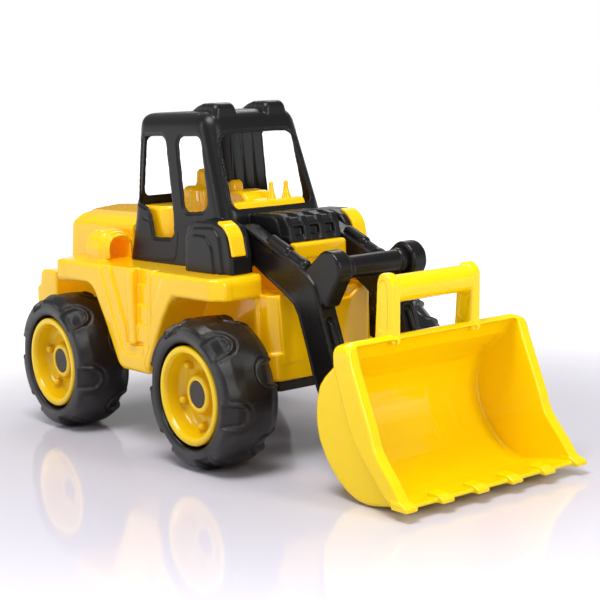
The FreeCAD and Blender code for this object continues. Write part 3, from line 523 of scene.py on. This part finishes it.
# ======================================================================================= cab
cover_outline = [(-76, 170), (-76, 190.5), (-73.5, 223, 6), (-66.5, 238, 9), (-52, 243.2, 12), (-20, 243.4, 18), (-3.2, 238.4, 14), (4.9, 229.0, 16), (9.2, 209, 12), (9.2, 190.5), (9.2, 170)]
cab_outline = [(-227.7, 150), (-223, 190.5), (-205.5, 334), (-203.3, 352, 17), (-150, 352.5), (-100, 352.8), (-69.5, 352.7, 19), (-33, 245.5), (-33, 150)]
cab_front = [(-74.6, 165), (-72, 190.5), (-65.5, 240), (-60.5, 333), (-56.5, 420), (56.5, 420), (60.5, 333), (65.5, 240), (72, 190.5), (74.6, 165)]
near_window = [(-122, 326, 9), (-80, 326.5, 9), (-66.5, 255, 8), (-76, 249.5, 5), (-104, 247.5, 6), (-110, 254, 4)]
door_opening = [(-193, 327, 9), (-148, 327, 9), (-136, 262, 30), (-129.5, 219.5, 6), (-167, 218.5, 4), (-177, 243, 6), (-184, 250, 5), (-208, 257, 4)]
far_window = [(-132, 326.5, 5), (-80, 326.5, 9), (-66.5, 255, 8), (-76, 249.5, 5), (-131, 250.5, 5)]

def cab_shell():
    f = Field((-224, -94, 190), (34, 94, 362), 1.25, half=False)
    cab = XZ(cab_outline, -95, 95).meet(YZ(cab_front, -260, 20), 16.0)
    f.v = np.array(np.broadcast_to(f._values(cab, (slice(None),) * 3), f.v.shape), np.float32)
    f.soften(14)
    cowl_prof = [(-30, 216), (-30, 247.0), (12, 247.2, 6), (25.0, 244.8, 8), (31.0, 235.5, 5), (33.6, 221.5, 2), (32, 216)]
    sink_prof = [(-33, 216), (-33, 244.0), (12, 243.8, 6), (21.5, 241.2, 7), (26.6, 233.5, 4), (28.8, 222), (28, 216)]
    fin_prof = [(-45, 190), (-45, 246), (4, 246.0, 8), (13.5, 241.0, 7), (18.6, 226, 2), (18, 216), (0, 216), (-33, 190)]
    for s in (1, -1):
        y0, y1 = (62, 89.5) if s > 0 else (-89.5, -62)
        f.add(XZ(cover_outline, y0, y1, 3.2), 1.2)
        f.add(XZ([(-73.4, 180), (-68.4, 224.2, 7), (-54.7, 235.4, 10), (-18.0, 236.8, 12), (-8.6, 227.5, 12), (-5.0, 193, 3), (-5, 180)], *((84, 91.6) if s > 0 else (-91.6, -84)), 1.3), 0.5)
        f.add(XZ([(-68.0, 180), (-63.9, 221, 7), (-52.3, 228.6, 9), (-31, 228.2, 12), (-20.1, 217, 12), (-17.6, 193, 3), (-17.6, 180)], *((84, 93.4) if s > 0 else (-93.4, -84)), 1.3), 0.5)
        # sunk seat of the headlight strip
        hp = [(-18, 256), (-13.2, 241.2), (-5.6, 236.6), (2.2, 227.8, 8), (6.8, 208.2), (20, 207.5), (22, 250)]
        f.cut(XZ(hp, *((70.4, 88.6) if s > 0 else (-88.6, -70.4))), 0.6)
        # boss that carries the arm shaft, cheek between cover and slot
        f.add(CYLY(-15, 222, 9, *((62, 70) if s > 0 else (-70, -62)), 0.5), 0.5)
        f.add(CYLY(-15, 222, 9, *((28, 34) if s > 0 else (-34, -28)), 0.8), 0.5)
    # open under the cab and behind the front wall
    f.cut(cab.grow(-3.0).meet(BOX(-400, 100, -100, 100, 100, 400), 0), 0.8)
    # cowl: four wide ribs wrap over its front, square sunk fields between them, smooth fins at both ends
    def ahead(x0, x1, y0, y1):
        return BOX(x0, x1, y0, y1, 215.5, 260)
    f.add(XZ(fin_prof, -34, 34, 2.0).meet(ahead(-33, 60, -34, 34), 0), 1.0)
    f.add(XZ(sink_prof, -31.5, 31.5, 1.0).meet(ahead(-33, 60, -34, 34), 0), 0.6)
    for y0, y1 in ((-33.6, -25.0), (-14.5, -4.6), (5.2, 15.1), (24.6, 33.6)):
        f.add(XZ(cowl_prof, y0, y1, 1.6).meet(ahead(-24, 60, y0, y1), 1.4), 0.8)
    f.add(XZ([(15, 216), (15, 225.2), (31.4, 225.8, 1.5), (33.4, 220, 1.5), (32.4, 216)], -33.8, 33.8, 1.0), 0.6)
    for y0, y1 in ((-25.4, -14.1), (-5, 5.6), (14.7, 25)):
        f.add(XZ([(14, 241), (21.4, 244.2, 4), (29.0, 238, 3), (29.6, 234.5), (24, 233)], y0, y1, 1.0), 0.7)
    f.cut(XZ([(-30, 200), (-30, 236), (-6, 236, 8), (8, 235, 9), (19.5, 219, 5), (22, 200)], -28, 28, 0))
    # windows and door: a sunk rim, then the opening
    rim = cab.grow(-1.3)
    def sunk(pts, y0, y1, off):
        P = outline(pts)
        f.cut(Prim(lambda x, y, z: np.maximum(np.maximum(sd_poly(P, x, z) - off, np.abs(y - (y0 + y1) / 2) - (y1 - y0) / 2), -rim.f(x, y, z)),
                   [P[:, 0].min() - off, P[:, 0].max() + off, y0, y1, P[:, 1].min() - off, P[:, 1].max() + off]), 0.2)
    sunk(near_window, -95, -40, 3.6); sunk(far_window, 40, 95, 3.6); sunk(door_opening, -95, -40, 3.6)
    f.cut(XZ(near_window, -95, -40), 1.2); f.cut(XZ(door_opening, -95, -40), 1.2); f.cut(XZ(far_window, 40, 95), 1.2)
    rear = outline([(-49, 261, 6), (-46, 326, 7), (46, 326, 7), (49, 261, 6)]); ws = outline([(-50.9, 251.6, 8), (-46.2, 328.0, 12), (46.6, 328.0, 12), (51.2, 251.6, 8)])
    for P, x0, x1 in ((rear, -240, -190), (ws, -90, -10)):
        f.cut(Prim(lambda x, y, z, P=P, x0=x0, x1=x1: np.maximum(np.maximum(sd_poly(P, y, z) - 4.0, np.abs(x - (x0 + x1) / 2) - (x1 - x0) / 2), -rim.f(x, y, z)),
                   [x0, x1, -56, 56, 246, 334]), 0.5)
        f.cut(YZ(P, x0, x1), 1.2)
    # door leaf: raised edge line, handle groove
    g = smooth_line([(-214, 249), (-212, 204), (-206, 196.5), (-196, 194.2), (-130, 195.0), (-122, 198), (-119.4, 206), (-119.0, 226)], 6)
    f.cut(TUBE_XZ(g, 1.5, -95, -40).minus(cab.grow(-0.9), 0), 0.4)
    f.cut(TUBE_XZ([(-192.6, 238.2), (-179.0, 235.1)], 1.5, -95, -40).minus(cab.grow(-0.7), 0), 0.3)
    # closed rear quarter on the left: upright stiffeners inside
    for x in (-192, -172, -152):
        f.add(BOX(x - 2.2, x + 2.2, 58.2, 66, 196, 338, 1.0).meet(cab.grow(-1.0), 0), 1.6)
    # roof: shallow sunk field, warning lights
    f.cut(XY([(-190, -40, 12), (-190, 40, 12), (-128, 40, 6), (-128, -40, 6)], 351.6, 370, 0), 0.8)
    rl = [(-124, 345), (-123, 351), (-106, 358.2, 8), (-95, 361.2, 8), (-69.8, 361.2, 9), (-66.4, 339.2, 2), (-90, 333)]
    for s in (1, -1):
        y0, y1 = (17.2, 47.6) if s > 0 else (-47.6, -17.2)
        yc = (y0 + y1) / 2
        pl = outline([(-124, yc - 9), (-104, yc - 14.2, 9), (-88, yc - 16.8, 5), (-66.4, yc - 17.6, 3.5), (-66.4, yc + 17.6, 3.5), (-88, yc + 16.8, 5), (-104, yc + 14.2, 9), (-124, yc + 9)])
        tap = YZ([(yc - 18.4, 333), (yc - 13.0, 365), (yc + 13.0, 365), (yc + 18.4, 333)], -130, -60)
        lamp = XZ(rl, y0 - 3, y1 + 3).meet(XY(pl, 330, 370), 2.4).meet(tap, 7.0)
        f.add(lamp, 1.2)
        f.cut(TUBE_XZ([(-88, 336), (-90, 366)], 1.4, y0 - 4, y1 + 4).minus(lamp.grow(-0.7), 0), 0.3)
    f.cut(BOX(-400, 100, -100, 100, 100, 190.5))
    return build("cab", f, M_BLK, "chassis", ["cab_shell"])

def headlights():
    hp = [(-14.2, 241.0, 0.5), (-4.8, 236.8, 16), (3.2, 228.2, 18), (7.6, 208.6, 0.5), (10.2, 209.2, 0.8), (6.0, 230.4, 18), (-2.6, 239.6, 16), (-12.8, 243.9, 0.8)]
    for nm, y0, y1 in (("right", -88, -71), ("left", 71, 88)):
        f = Field((-15, y0, 207), (11, y1, 245), 0.8, half=False)
        f.add(XZ(hp, y0, y1, 0.9))
        build("headlight_" + nm, f, M_YEL, "chassis", ["headlight_panel_" + nm])

# ======================================================================================= cab interior
def interior():
    f = Field((-215, 0, 190), (-37, 60, 291), 1.4)
    f.add(XY([(-213, -57.5, 3), (-213, 57.5, 3), (-166, 57.5, 16), (-150, 40, 18), (-150, -40, 18), (-166, -57.5, 16)], 190.5, 250.5, 4.5))
    f.add(XY([(-156, -40, 10), (-112, -40, 12), (-112, 40, 12), (-156, 40, 10)], 190.5, 229, 4.0), 4.0)
    f.add(XZ([(-172, 236), (-168, 264, 12), (-161, 271.5, 8), (-144, 271.5, 8), (-136, 224), (-160, 222)], -31, 31, 6.0), 5.0)
    f.add(XZ([(-165, 255), (-161.5, 289, 7), (-146.5, 289, 8), (-142, 255)], -14, 14, 5.0), 3.0)
    f.add(XZ([(-150, 226), (-147, 268, 4), (-140, 268, 4), (-132, 226)], -22, 22, 4.0), 3.0)
    f.add(BOX(-114, -39.4, -46, 46, 190.5, 215, 3.0), 1.5)
    f.add(XZ([(-72, 205), (-63, 253.5, 5), (-57.5, 257.6, 4), (-42.8, 257.6, 4), (-39.2, 249), (-38.6, 205)], -46, 46, 3.0), 2.0)
    f.add(XZ([(-94, 210), (-96.5, 262, 6), (-90, 267.6, 6), (-68, 266, 8), (-57, 256), (-56, 210)], -18, 18, 4.0), 2.5)
    f.add(XZ([(-108, 210), (-110.5, 268, 6), (-106, 278.5, 7), (-100, 275, 8), (-91, 210)], -8.5, 8.5, 5.0), 2.5)
    f.cut(BOX(-200, -153, -40, 40, 180, 246))
    ob = build("cab_inside", f, M_YEL, "chassis", ["cab_interior"])
    g = Field((-57, 0, 252), (-43, 35, 277), 0.8, half=False)
    for y in (7.6, 27.0):
        g.add(CAPS((-50, y, 257.0), (-50, y, 268.5), 5.4, 2.3), 0.5)
        g.add(CAPS((-50, y, 267), (-50, y, 273.8), 2.4, 2.5), 1.2)
    build("cab_levers", g, M_YEL, "chassis", [])

# ======================================================================================= loader arms
arm_outline = [(-9.2, 236.4), (1, 232.4), (34, 219), (66, 206), (81, 199.6), (92, 193.6, 8), (101.5, 185, 14), (106.5, 173), (111.5, 157), (118, 139), (124, 121), (128, 112), (151.2, 60.5),
               (149.6, 47, 11), (133, 41, 12), (121.5, 50, 8), (99, 81), (92, 98), (87, 115), (80, 135), (73.5, 153, 8), (67, 163, 10), (57, 169.6, 20), (39, 179), (18, 189.5), (4, 197.2), (-20.5, 207.6)]
cam_outline = [(84, 198), (108.5, 215.8), (119, 219, 12), (136, 213, 14), (138.5, 196, 14), (131, 186.5), (115, 163, 3), (100, 170)]

def loader_arm(side):
    f = Field((-32, -60, 38), (141 + 12, -36, 230 + 8), 1.1, half=False)
    arm = XZ(arm_outline, -59, -39, 1.8)
    f.add(arm)
    f.add(CYLY(-15, 222, 15.5, -59, -39, 1.8), 1.0)
    # recessed inner and outer webs leave an edge bead along the top and the front
    f.cut(XZ(arm_outline, -70, -58.2, 0, off=-3.4), 0.6)
    f.cut(XZ(arm_outline, -39.8, -30, 0, off=-3.4), 0.6)
    f.add(CYLY(-15, 222, 12.0, -59.2, -39, 1.0), 0.6)
    # cam that carries the crossbar
    cam = XZ(cam_outline, -56.4, -38, 3.2)
    f.add(cam, 0.8)
    f.add(CYLY(119, 200.5, 18.5, -56.4, -38, 3.2), 0.0)
    # moulded cylinder on the upper arm, thick part then rod
    f.add(CAPS((27, -49, 223.2), (51, -49, 213.4), 6.0), 0.8)
    f.add(CAPS((50, -49, 213.5), (77, -49, 202.4), 4.4), 0.8)
    f.add(CAPS((74, -49, 203.6), (78.5, -49, 201.8), 5.2), 0.8)
    # channel with a rod on the front of the lower arm
    f.cut(CAPS((115.6, -49.5, 150), (144.6, -49.5, 76), 5.6), 1.0)
    f.add(CAPS((114.2, -49.5, 146.5), (141.2, -49.5, 80), 3.1), 0.8)
    f.cut(CYLY(-15, 222, 5.1, -80, -20)); f.cut(CYLY(137, 55, 4.2, -80, -20))
    v, o = f.whole(); h = f.h
    nm = "loader_arm_" + side
    if side == "left":
        v = v[:, ::-1, :].copy(); o = o.copy(); o[1] = -(o[1] + h * (v.shape[1] - 1))
    class Done:
        pass
    d = Done(); d.h = h; d.whole = lambda: (v, o)
    return build(nm + "_skin", d, M_ARM, "loader_arms", [nm])

def crossbar():
    f = Field((106, 0, 187), (132, 40, 214), 0.9)
    f.add(CYLY(119, 200.5, 11.0, -39, 39, 0.8))
    f.add(CYLY(119, 200.5, 12.4, 30.5, 39, 1.6), 1.0)
    build("crossbar", f, M_ARM, "loader_arms", ["arm_crossbar"])

# ======================================================================================= bucket
b_outer = [(214, 143.5), (207, 147.5, 4), (193, 145, 5), (192, 132, 6), (178, 120, 12), (168, 112, 8), (160, 103, 8), (154.6, 88, 30), (152.8, 69, 40), (156, 51, 30), (166, 33.5, 30), (179, 18.5, 30),
           (193, 8.5, 30), (208, 2.4, 30), (224, 1.0, 30), (252, 5.5, 60), (279, 9.2), (280.5, 13.6), (268, 30), (253, 47, 20), (245, 57, 20), (241, 71, 20), (231, 96), (219, 126)]
b_inner = [(240, 143.6), (205, 143.6, 8), (194.5, 128, 6), (180, 116.5, 12), (170, 108.5, 8), (163.4, 101, 8), (158.2, 88, 30), (156.4, 69, 40), (159.4, 52.5, 30), (169, 36, 30), (181.6, 21.6, 30),
           (194.6, 12.2, 30), (209, 6.0, 30), (224, 4.6, 30), (251.6, 9.2, 60), (279, 13.4), (296, 17), (300, 143.6)]
flange = [(214.5, 143.5), (207, 147.5, 5), (194, 145, 5), (194, 126), (205, 93), (212, 74), (219, 60), (235, 42), (257, 18), (270, 9.4, 6), (281.5, 9.8, 3), (281.5, 13.4), (268.5, 30.6),
          (253.5, 47.6, 20), (245.6, 57.6, 20), (241.6, 71.5, 20), (231.6, 96.5), (219.6, 126.5)]

def bucket():
    f = Field((150, 0, 0), (289, 115.5, 204.5), 1.25)
    f.add(XZ(b_outer, -104, 104, 4.5))
    f.add(XZ(flange, -114, 114).meet(YZ([(-114, -20), (-114, 147.7, 13), (114, 147.7, 13), (114, -20)], 100, 320), 3.4), 1.0)
    inner = XZ(b_inner, -101, 101, 3.0)
    f.cut(inner, 2.0)
    for k in range(3, 6):
        yc = -107.2 + k * 42.88
        f.add(XZ([(268, 9.2), (288, 9.0, 1.4), (288.2, 12.9, 1.4), (281, 16.4, 3), (266, 16.8)], yc - 7.2, yc + 7.2, 1.1), 0.6)
    # handle: two posts and a round grip
    f.add(XZ([(183.6, 138), (190.3, 195, 11), (194, 203.4, 9), (206, 203.4, 10), (212.6, 195, 10), (209.8, 138)], 44.7, 55.7, 2.8), 1.2)
    f.cut(XZ([(190.5, 150, 4), (194.2, 176, 20), (192.6, 188, 8), (196.5, 197, 6), (202, 197, 6), (204.5, 186, 20), (203.5, 164, 20), (202.4, 150, 4)], 54.9, 60, 0), 0.6)
    f.cut(XZ([(190.5, 150, 4), (193.2, 172, 5), (204, 172, 5), (202.4, 150, 4)], 40, 45.5, 0), 0.6)
    f.add(CYLY(200.5, 188, 12.7, -46, 46, 0), 1.0)
    f.add(XZ([(206, 138), (208, 147.6, 2), (213.4, 143.0), (212, 138)], 48.2, 52.4, 0.8), 1.0)
    # pivot lugs
    for y0, y1 in ((60.0, 66.5), (31.5, 38.0)):
        lug = XZ([(133, 64), (137, 66.5), (172, 84), (176, 30), (140, 43.8), (133, 45)], y0, y1, 1.2).join(CYLY(137, 55, 11.5, y0, y1, 1.2), 0)
        f.add(lug.minus(XZ(b_inner, -130, 130, 0)), 1.0)
        f.cut(CYLY(137, 55, 4.0, y0 - 5, y1 + 5))
    return build("bucket_skin", f, M_BKT, "bucket_body", ["bucket"])

# ======================================================================================= wheels
TY = 113.3
def rim(name, ax, side, ang0):
    f = Field((-52, -10, -52), (52, 32.5, 52), 0.9, half=False)
    prof = outline([(50.2, -4), (50.4, 29.0, 1.4), (48.8, 30.6, 1.4), (44.2, 30.6, 1.8), (42.2, 27.0, 2), (38.6, 10.5, 9), (22.5, 8, 4), (18.9, 19.0, 3.6), (13.9, 19.2, 0.8),
                    (13.5, 16.3), (3.9, 16.3), (3.9, -8), (16, -8), (18, 2), (38, 3), (44, -4)])
    f.add(Prim(lambda x, y, z: sd_poly(prof, np.sqrt(x * x + z * z), y + 0 * x), [-52, 52, -12, 32, -52, 52]))
    for k in range(5):
        a = math.radians(ang0 + 72 * k); c, s = math.cos(a), math.sin(a)
        f.add(CAPS((34.4 * c, 4.0, 34.4 * s), (34.4 * c, 11.0, 34.4 * s), 8.6, 4.6), 1.0)
        f.add(CAPS((35 * c, 6.0, 35 * s), (46.5 * c, 15.5, 46.5 * s), 6.8, 2.4), 1.2)
        f.add(CAPS((33.8 * c, 9, 33.8 * s), (33.6 * c, 14.4, 33.6 * s), 4.5), 0.25)
    f.cut(CYLY(0, 0, 4.1, -40, 16.2))
    v, o = f.whole()
    if side < 0:
        v = v[:, ::-1, :].copy(); o = o.copy(); o[1] = -(o[1] + f.h * (v.shape[1] - 1))
    o = o + np.array([ax, side * TY, 76.0])
    class D: pass
    d = D(); d.h = f.h; d.whole = lambda: (v, o)
    return build("rim_skin_" + name, d, M_RIM, "wheel_" + name, ["rim_" + name])

def tyre(name, ax, side):
    """Blow-moulded tyre: turned profile with horseshoe scoops pressed into both shoulders."""
    hw = 32.1
    pts = outline([(50.9, 8), (53.2, 27.5, 1.0), (53.4, 30.6, 1.2), (56.5, 32.0, 2), (62, hw + 0.2, 8), (69.8, 31.6, 7), (75.2, 19, 9), (76, 8, 40), (76, -8, 40), (75.2, -19, 9), (70.2, -31.0, 9), (60, -hw - 0.2, 8), (54.6, -31.6, 3),
                   (46, -24, 3), (10, -24), (10, 8)], step=5)
    # even steps along the outline
    C = np.vstack([pts, pts[:1]]); seg = np.linalg.norm(np.diff(C, axis=0), axis=1); cum = np.concatenate([[0], np.cumsum(seg)])
    n = int(cum[-1] / 0.92); t = np.linspace(0, cum[-1], n, endpoint=False)
    R = np.interp(t, cum, C[:, 0]); W = np.interp(t, cum, C[:, 1])
    # soften the turned profile a little
    for _ in range(3):
        R = (np.roll(R, 1) + 2 * R + np.roll(R, -1)) / 4; W = (np.roll(W, 1) + 2 * W + np.roll(W, -1)) / 4
    dR = np.roll(R, -1) - np.roll(R, 1); dW = np.roll(W, -1) - np.roll(W, 1)
    nl = np.hypot(dR, dW); nR, nW = -dW / nl, dR / nl
    if (nR * (R - 63) + nW * W).sum() < 0:
        nR, nW = -nR, -nW
    m = 560
    A = np.arange(m) * 2 * np.pi / m
    TH, RR = np.meshgrid(A, R, indexing="ij"); _, WW = np.meshgrid(A, W, indexing="ij"); _, NR = np.meshgrid(A, nR, indexing="ij"); _, NW = np.meshgrid(A, nW, indexing="ij")
    _, T = np.meshgrid(A, t, indexing="ij")
    D = np.zeros_like(TH)
    # distance along the skin from the middle of the tread towards each side
    k0 = np.argmax(R + 0.0001 * (8 - abs(W)))
    tm = t[np.argmin(np.where(R > 74, np.abs(W), 1e9))]
    outw = 1 if W[(np.argmin(abs(t - (tm - 20))))] > 0 else -1
    L = (tm - T) * outw                      # positive on the outer side
    for sgn, off in ((1, 50), (-1, 20)):
        u = sgn * L
        for k in range(6):
            th = math.radians(off + 60 * k)
            dth = (TH - th + np.pi) % (2 * np.pi) - np.pi
            a = dth * np.minimum(RR, 76)
            end = 8.5                        # closed end of the horseshoe, distance from the tread middle
            w0 = 11.5
            w = w0 + 0.09 * np.clip(u - end - w0, 0, 30)
            q = np.where(u < end + w0, np.sqrt((end + w0 - u) ** 2 + a * a) - w0, np.abs(a) - w)
            valid = (u > -6) & (RR > 54)
            fade = np.clip((RR - 61.5) / 6, 0, 1); fade = fade * fade * (3 - 2 * fade)
            inside = np.clip((-q - 0.1) / 2.2, 0, 1); inside = inside * inside * (3 - 2 * inside)
            deep = 2.7 + 1.3 * np.clip((u - 14) / 16, 0, 1)
            lip = 0.95 * np.exp(-((q - 1.5) / 1.25) ** 2) - 1.15 * np.exp(-((q - 4.6) / 1.35) ** 2)
            D += np.where(valid, fade * (-deep * inside + lip * np.clip((36 - u) / 10, 0.15, 1)), 0)
    # faint waviness of a blown wall and the parting line
    D += 0.18 * np.sin(3 * TH + 0.6) * np.clip((RR - 60) / 10, 0, 1) + 0.10 * np.sin(7 * TH + WW * 0.05)
    D += 0.34 * np.exp(-(L / 0.8) ** 2) * (RR > 70)
    RD = RR + NR * D; WD = WW + NW * D
    RD = np.minimum(RD, 76.1)
    X = RD * np.cos(TH); Z = RD * np.sin(TH); Y = side * WD
    # flat where it stands on the floor
    P = np.stack([X + ax, Y + side * TY, np.maximum(Z + 76.0, 0.05)], -1).reshape(-1, 3)
    idx = np.arange(m * n).reshape(m, n)
    i1 = np.roll(idx, -1, 0)
    Q = np.stack([idx, i1, np.roll(i1, -1, 1), np.roll(idx, -1, 1)], -1).reshape(-1, 4)
    a, b, c = P[Q[n // 3, 0]], P[Q[n // 3, 1]], P[Q[n // 3, 3]]
    nn = np.cross(b - a, c - a); ctr = np.array([ax, side * TY, 76.0]); rad = a - ctr; rad[1] = 0
    # outward test on a point of the tread
    j = int(np.argmin(np.abs(t - tm))); q = Q.reshape(m, n, 4)[0, j]
    nn = np.cross(P[q[1]] - P[q[0]], P[q[3]] - P[q[0]])
    if nn[0] < 0:
        Q = Q[:, ::-1]
    uv = np.stack([(TH / (2 * np.pi) * 6 + T / cum[-1] * 2.2), T / cum[-1]], -1).reshape(-1, 2)
    ob = mesh_object("tyre_skin_" + name, P, Q, M_TYR, uv=uv)
    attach(ob, "wheel_" + name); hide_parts("tyre_" + name)
    return ob

import time
T0 = time.time()
def tick(s):
    print("built %-14s %.1f s" % (s, time.time() - T0))

body_shell(); tick("body")
hood_grille(); tick("grille")
cab_shell(); tick("cab")
headlights(); interior(); tick("interior")
loader_arm("right"); loader_arm("left"); crossbar(); tick("arms")
bucket(); tick("bucket")
for nm, ax, sd, a0 in (("front_right", 0.0, -1, 54.5), ("front_left", 0.0, 1, 54.5), ("rear_right", -280.4, -1, 20), ("rear_left", -280.4, 1, 20)):
    rim(nm, ax, sd, a0); tyre(nm, ax, sd)
tick("wheels")

# CAD pieces that stay visible get their finish
def dress(node, mat, smooth=True):
    ob = NODES[node]
    ob.data.materials.clear(); ob.data.materials.append(mat)
for w in ("front_right", "front_left", "rear_right", "rear_left"):
    dress("hub_cap_" + w, M_CAP); dress("wheel_lock_ring_" + w, M_FRM)
dress("base_frame", M_FRM)
for nd in ("base_screws", "cab_screws", "lift_shaft", "front_axle", "rear_axle", "axle_push_nuts", "bucket_pivot_pins"):
    dress(nd, M_STL)

# ======================================================================================= floor, light and camera
def floor():
    me = bpy.data.meshes.new("floor")
    s = 9.0
    me.from_pydata([(-s, -s, 0), (s, -s, 0), (s, s, 0), (-s, s, 0)], [], [(0, 1, 2, 3)])
    ob = bpy.data.objects.new("floor", me); bpy.context.scene.collection.objects.link(ob)
    m, nt, b = new_mat("pale_floor")
    N, L = nt.nodes, nt.links
    n = N.new("ShaderNodeTexNoise"); n.inputs["Scale"].default_value = 1.5
    r = N.new("ShaderNodeValToRGB"); r.color_ramp.elements[0].color = (0.655, 0.63, 0.705, 1); r.color_ramp.elements[1].color = (0.675, 0.65, 0.725, 1)
    L.new(n.outputs["Fac"], r.inputs["Fac"]); L.new(r.outputs["Color"], b.inputs["Base Color"])
    b.inputs["Roughness"].default_value = 0.07
    set_in(b, "Specular IOR Level", 0.5)
    # painted light: the floor glows white from 0.28 m out from the middle and stays darker close to the toy, where
    # shade falls
    tc = N.new("ShaderNodeTexCoord"); ln = N.new("ShaderNodeVectorMath"); ln.operation = "LENGTH"
    L.new(tc.outputs["Object"], ln.inputs[0])
    mr = N.new("ShaderNodeMapRange"); mr.interpolation_type = "SMOOTHSTEP"
    mr.inputs["From Min"].default_value = 0.28; mr.inputs["From Max"].default_value = 0.95
    mr.inputs["To Min"].default_value = 0.0; mr.inputs["To Max"].default_value = 0.62
    L.new(ln.outputs["Value"], mr.inputs["Value"])
    b.inputs["Emission Color"].default_value = (1.0, 1.0, 1.0, 1)
    L.new(mr.outputs["Result"], b.inputs["Emission Strength"])
    me.materials.append(m)
    return ob
floor()

w = bpy.data.worlds.new("studio"); bpy.context.scene.world = w; w.use_nodes = True
wn, wl = w.node_tree.nodes, w.node_tree.links
bg = wn["Background"]; bg.inputs["Strength"].default_value = 1.0
wt = wn.new("ShaderNodeTexCoord"); ws_ = wn.new("ShaderNodeSeparateXYZ"); wl.new(wt.outputs["Generated"], ws_.inputs["Vector"])
wr = wn.new("ShaderNodeMapRange"); wr.inputs["From Min"].default_value = -1; wr.inputs["From Max"].default_value = 1
wl.new(ws_.outputs["Z"], wr.inputs["Value"])
wc = wn.new("ShaderNodeValToRGB"); wl.new(wr.outputs["Result"], wc.inputs["Fac"]); wl.new(wc.outputs["Color"], bg.inputs["Color"])
els = wc.color_ramp.elements
els[0].position = 0.0; els[0].color = (1, 1, 1, 1)
els[1].position = 0.56; els[1].color = (1.0, 1.0, 1.0, 1)
for p_, c_ in ((0.62, 0.34), (0.80, 0.30), (1.0, 0.42)):
    e_ = els.new(p_); e_.color = (c_ * 0.98, c_ * 0.985, c_, 1)

def area(name, loc, target, size, power, colour=(1, 1, 1), size_y=None):
    d = bpy.data.lights.new(name, "AREA"); d.energy = power; d.color = colour; d.size = size
    if size_y:
        d.shape = "RECTANGLE"; d.size_y = size_y
    o = bpy.data.objects.new(name, d); o.location = loc
    o.rotation_mode = "QUATERNION"; o.rotation_quaternion = (Vector(target) - Vector(loc)).to_track_quat("-Z", "Y")
    bpy.context.scene.collection.objects.link(o)
    return o
area("key_top", (0.30, -0.50, 1.55), (0.0, 0.0, 0.15), 0.70, 21)
area("side_right", (-0.75, -1.55, 0.95), (-0.05, 0, 0.2), 0.30, 5.2, size_y=0.9)
area("side_front", (1.75, 0.25, 0.95), (0.1, 0, 0.15), 0.36, 12.2, size_y=0.9)
area("near_camera", (1.30, -1.45, 0.80), (0.0, 0, 0.15), 0.16, 2.2, size_y=0.55)
area("rear_top", (-0.9, 0.7, 1.3), (-0.05, 0, 0.2), 0.8, 7)

cam = bpy.data.cameras.new("camera"); co = bpy.data.objects.new("camera", cam)
bpy.context.scene.collection.objects.link(co); bpy.context.scene.camera = co
RM = [[0.6107308111925664, 0.7906739356522791, -0.04292556045301704], [0.08727857108684434, -0.12109712930130612, -0.9887962056480706], [-0.7870135496223103, 0.6001418272001366, -0.14296663931062026]]
rot = Matrix([[RM[0][0], -RM[1][0], -RM[2][0]], [RM[0][1], -RM[1][1], -RM[2][1]], [RM[0][2], -RM[1][2], -RM[2][2]]])
co.matrix_world = Matrix.Translation(((1197.54 + FX) / 1000, -0.90988, 0.37215)) @ rot.to_4x4()
cam.sensor_width = 36.0; cam.lens = 1464.24 / 600 * 36.0
cam.shift_x = -1.531 / 600; cam.shift_y = -0.320 / 600
cam.clip_start = 0.05; cam.clip_end = 60
bpy.context.scene.view_settings.view_transform = "Standard"
bpy.context.scene.view_settings.look = "None"
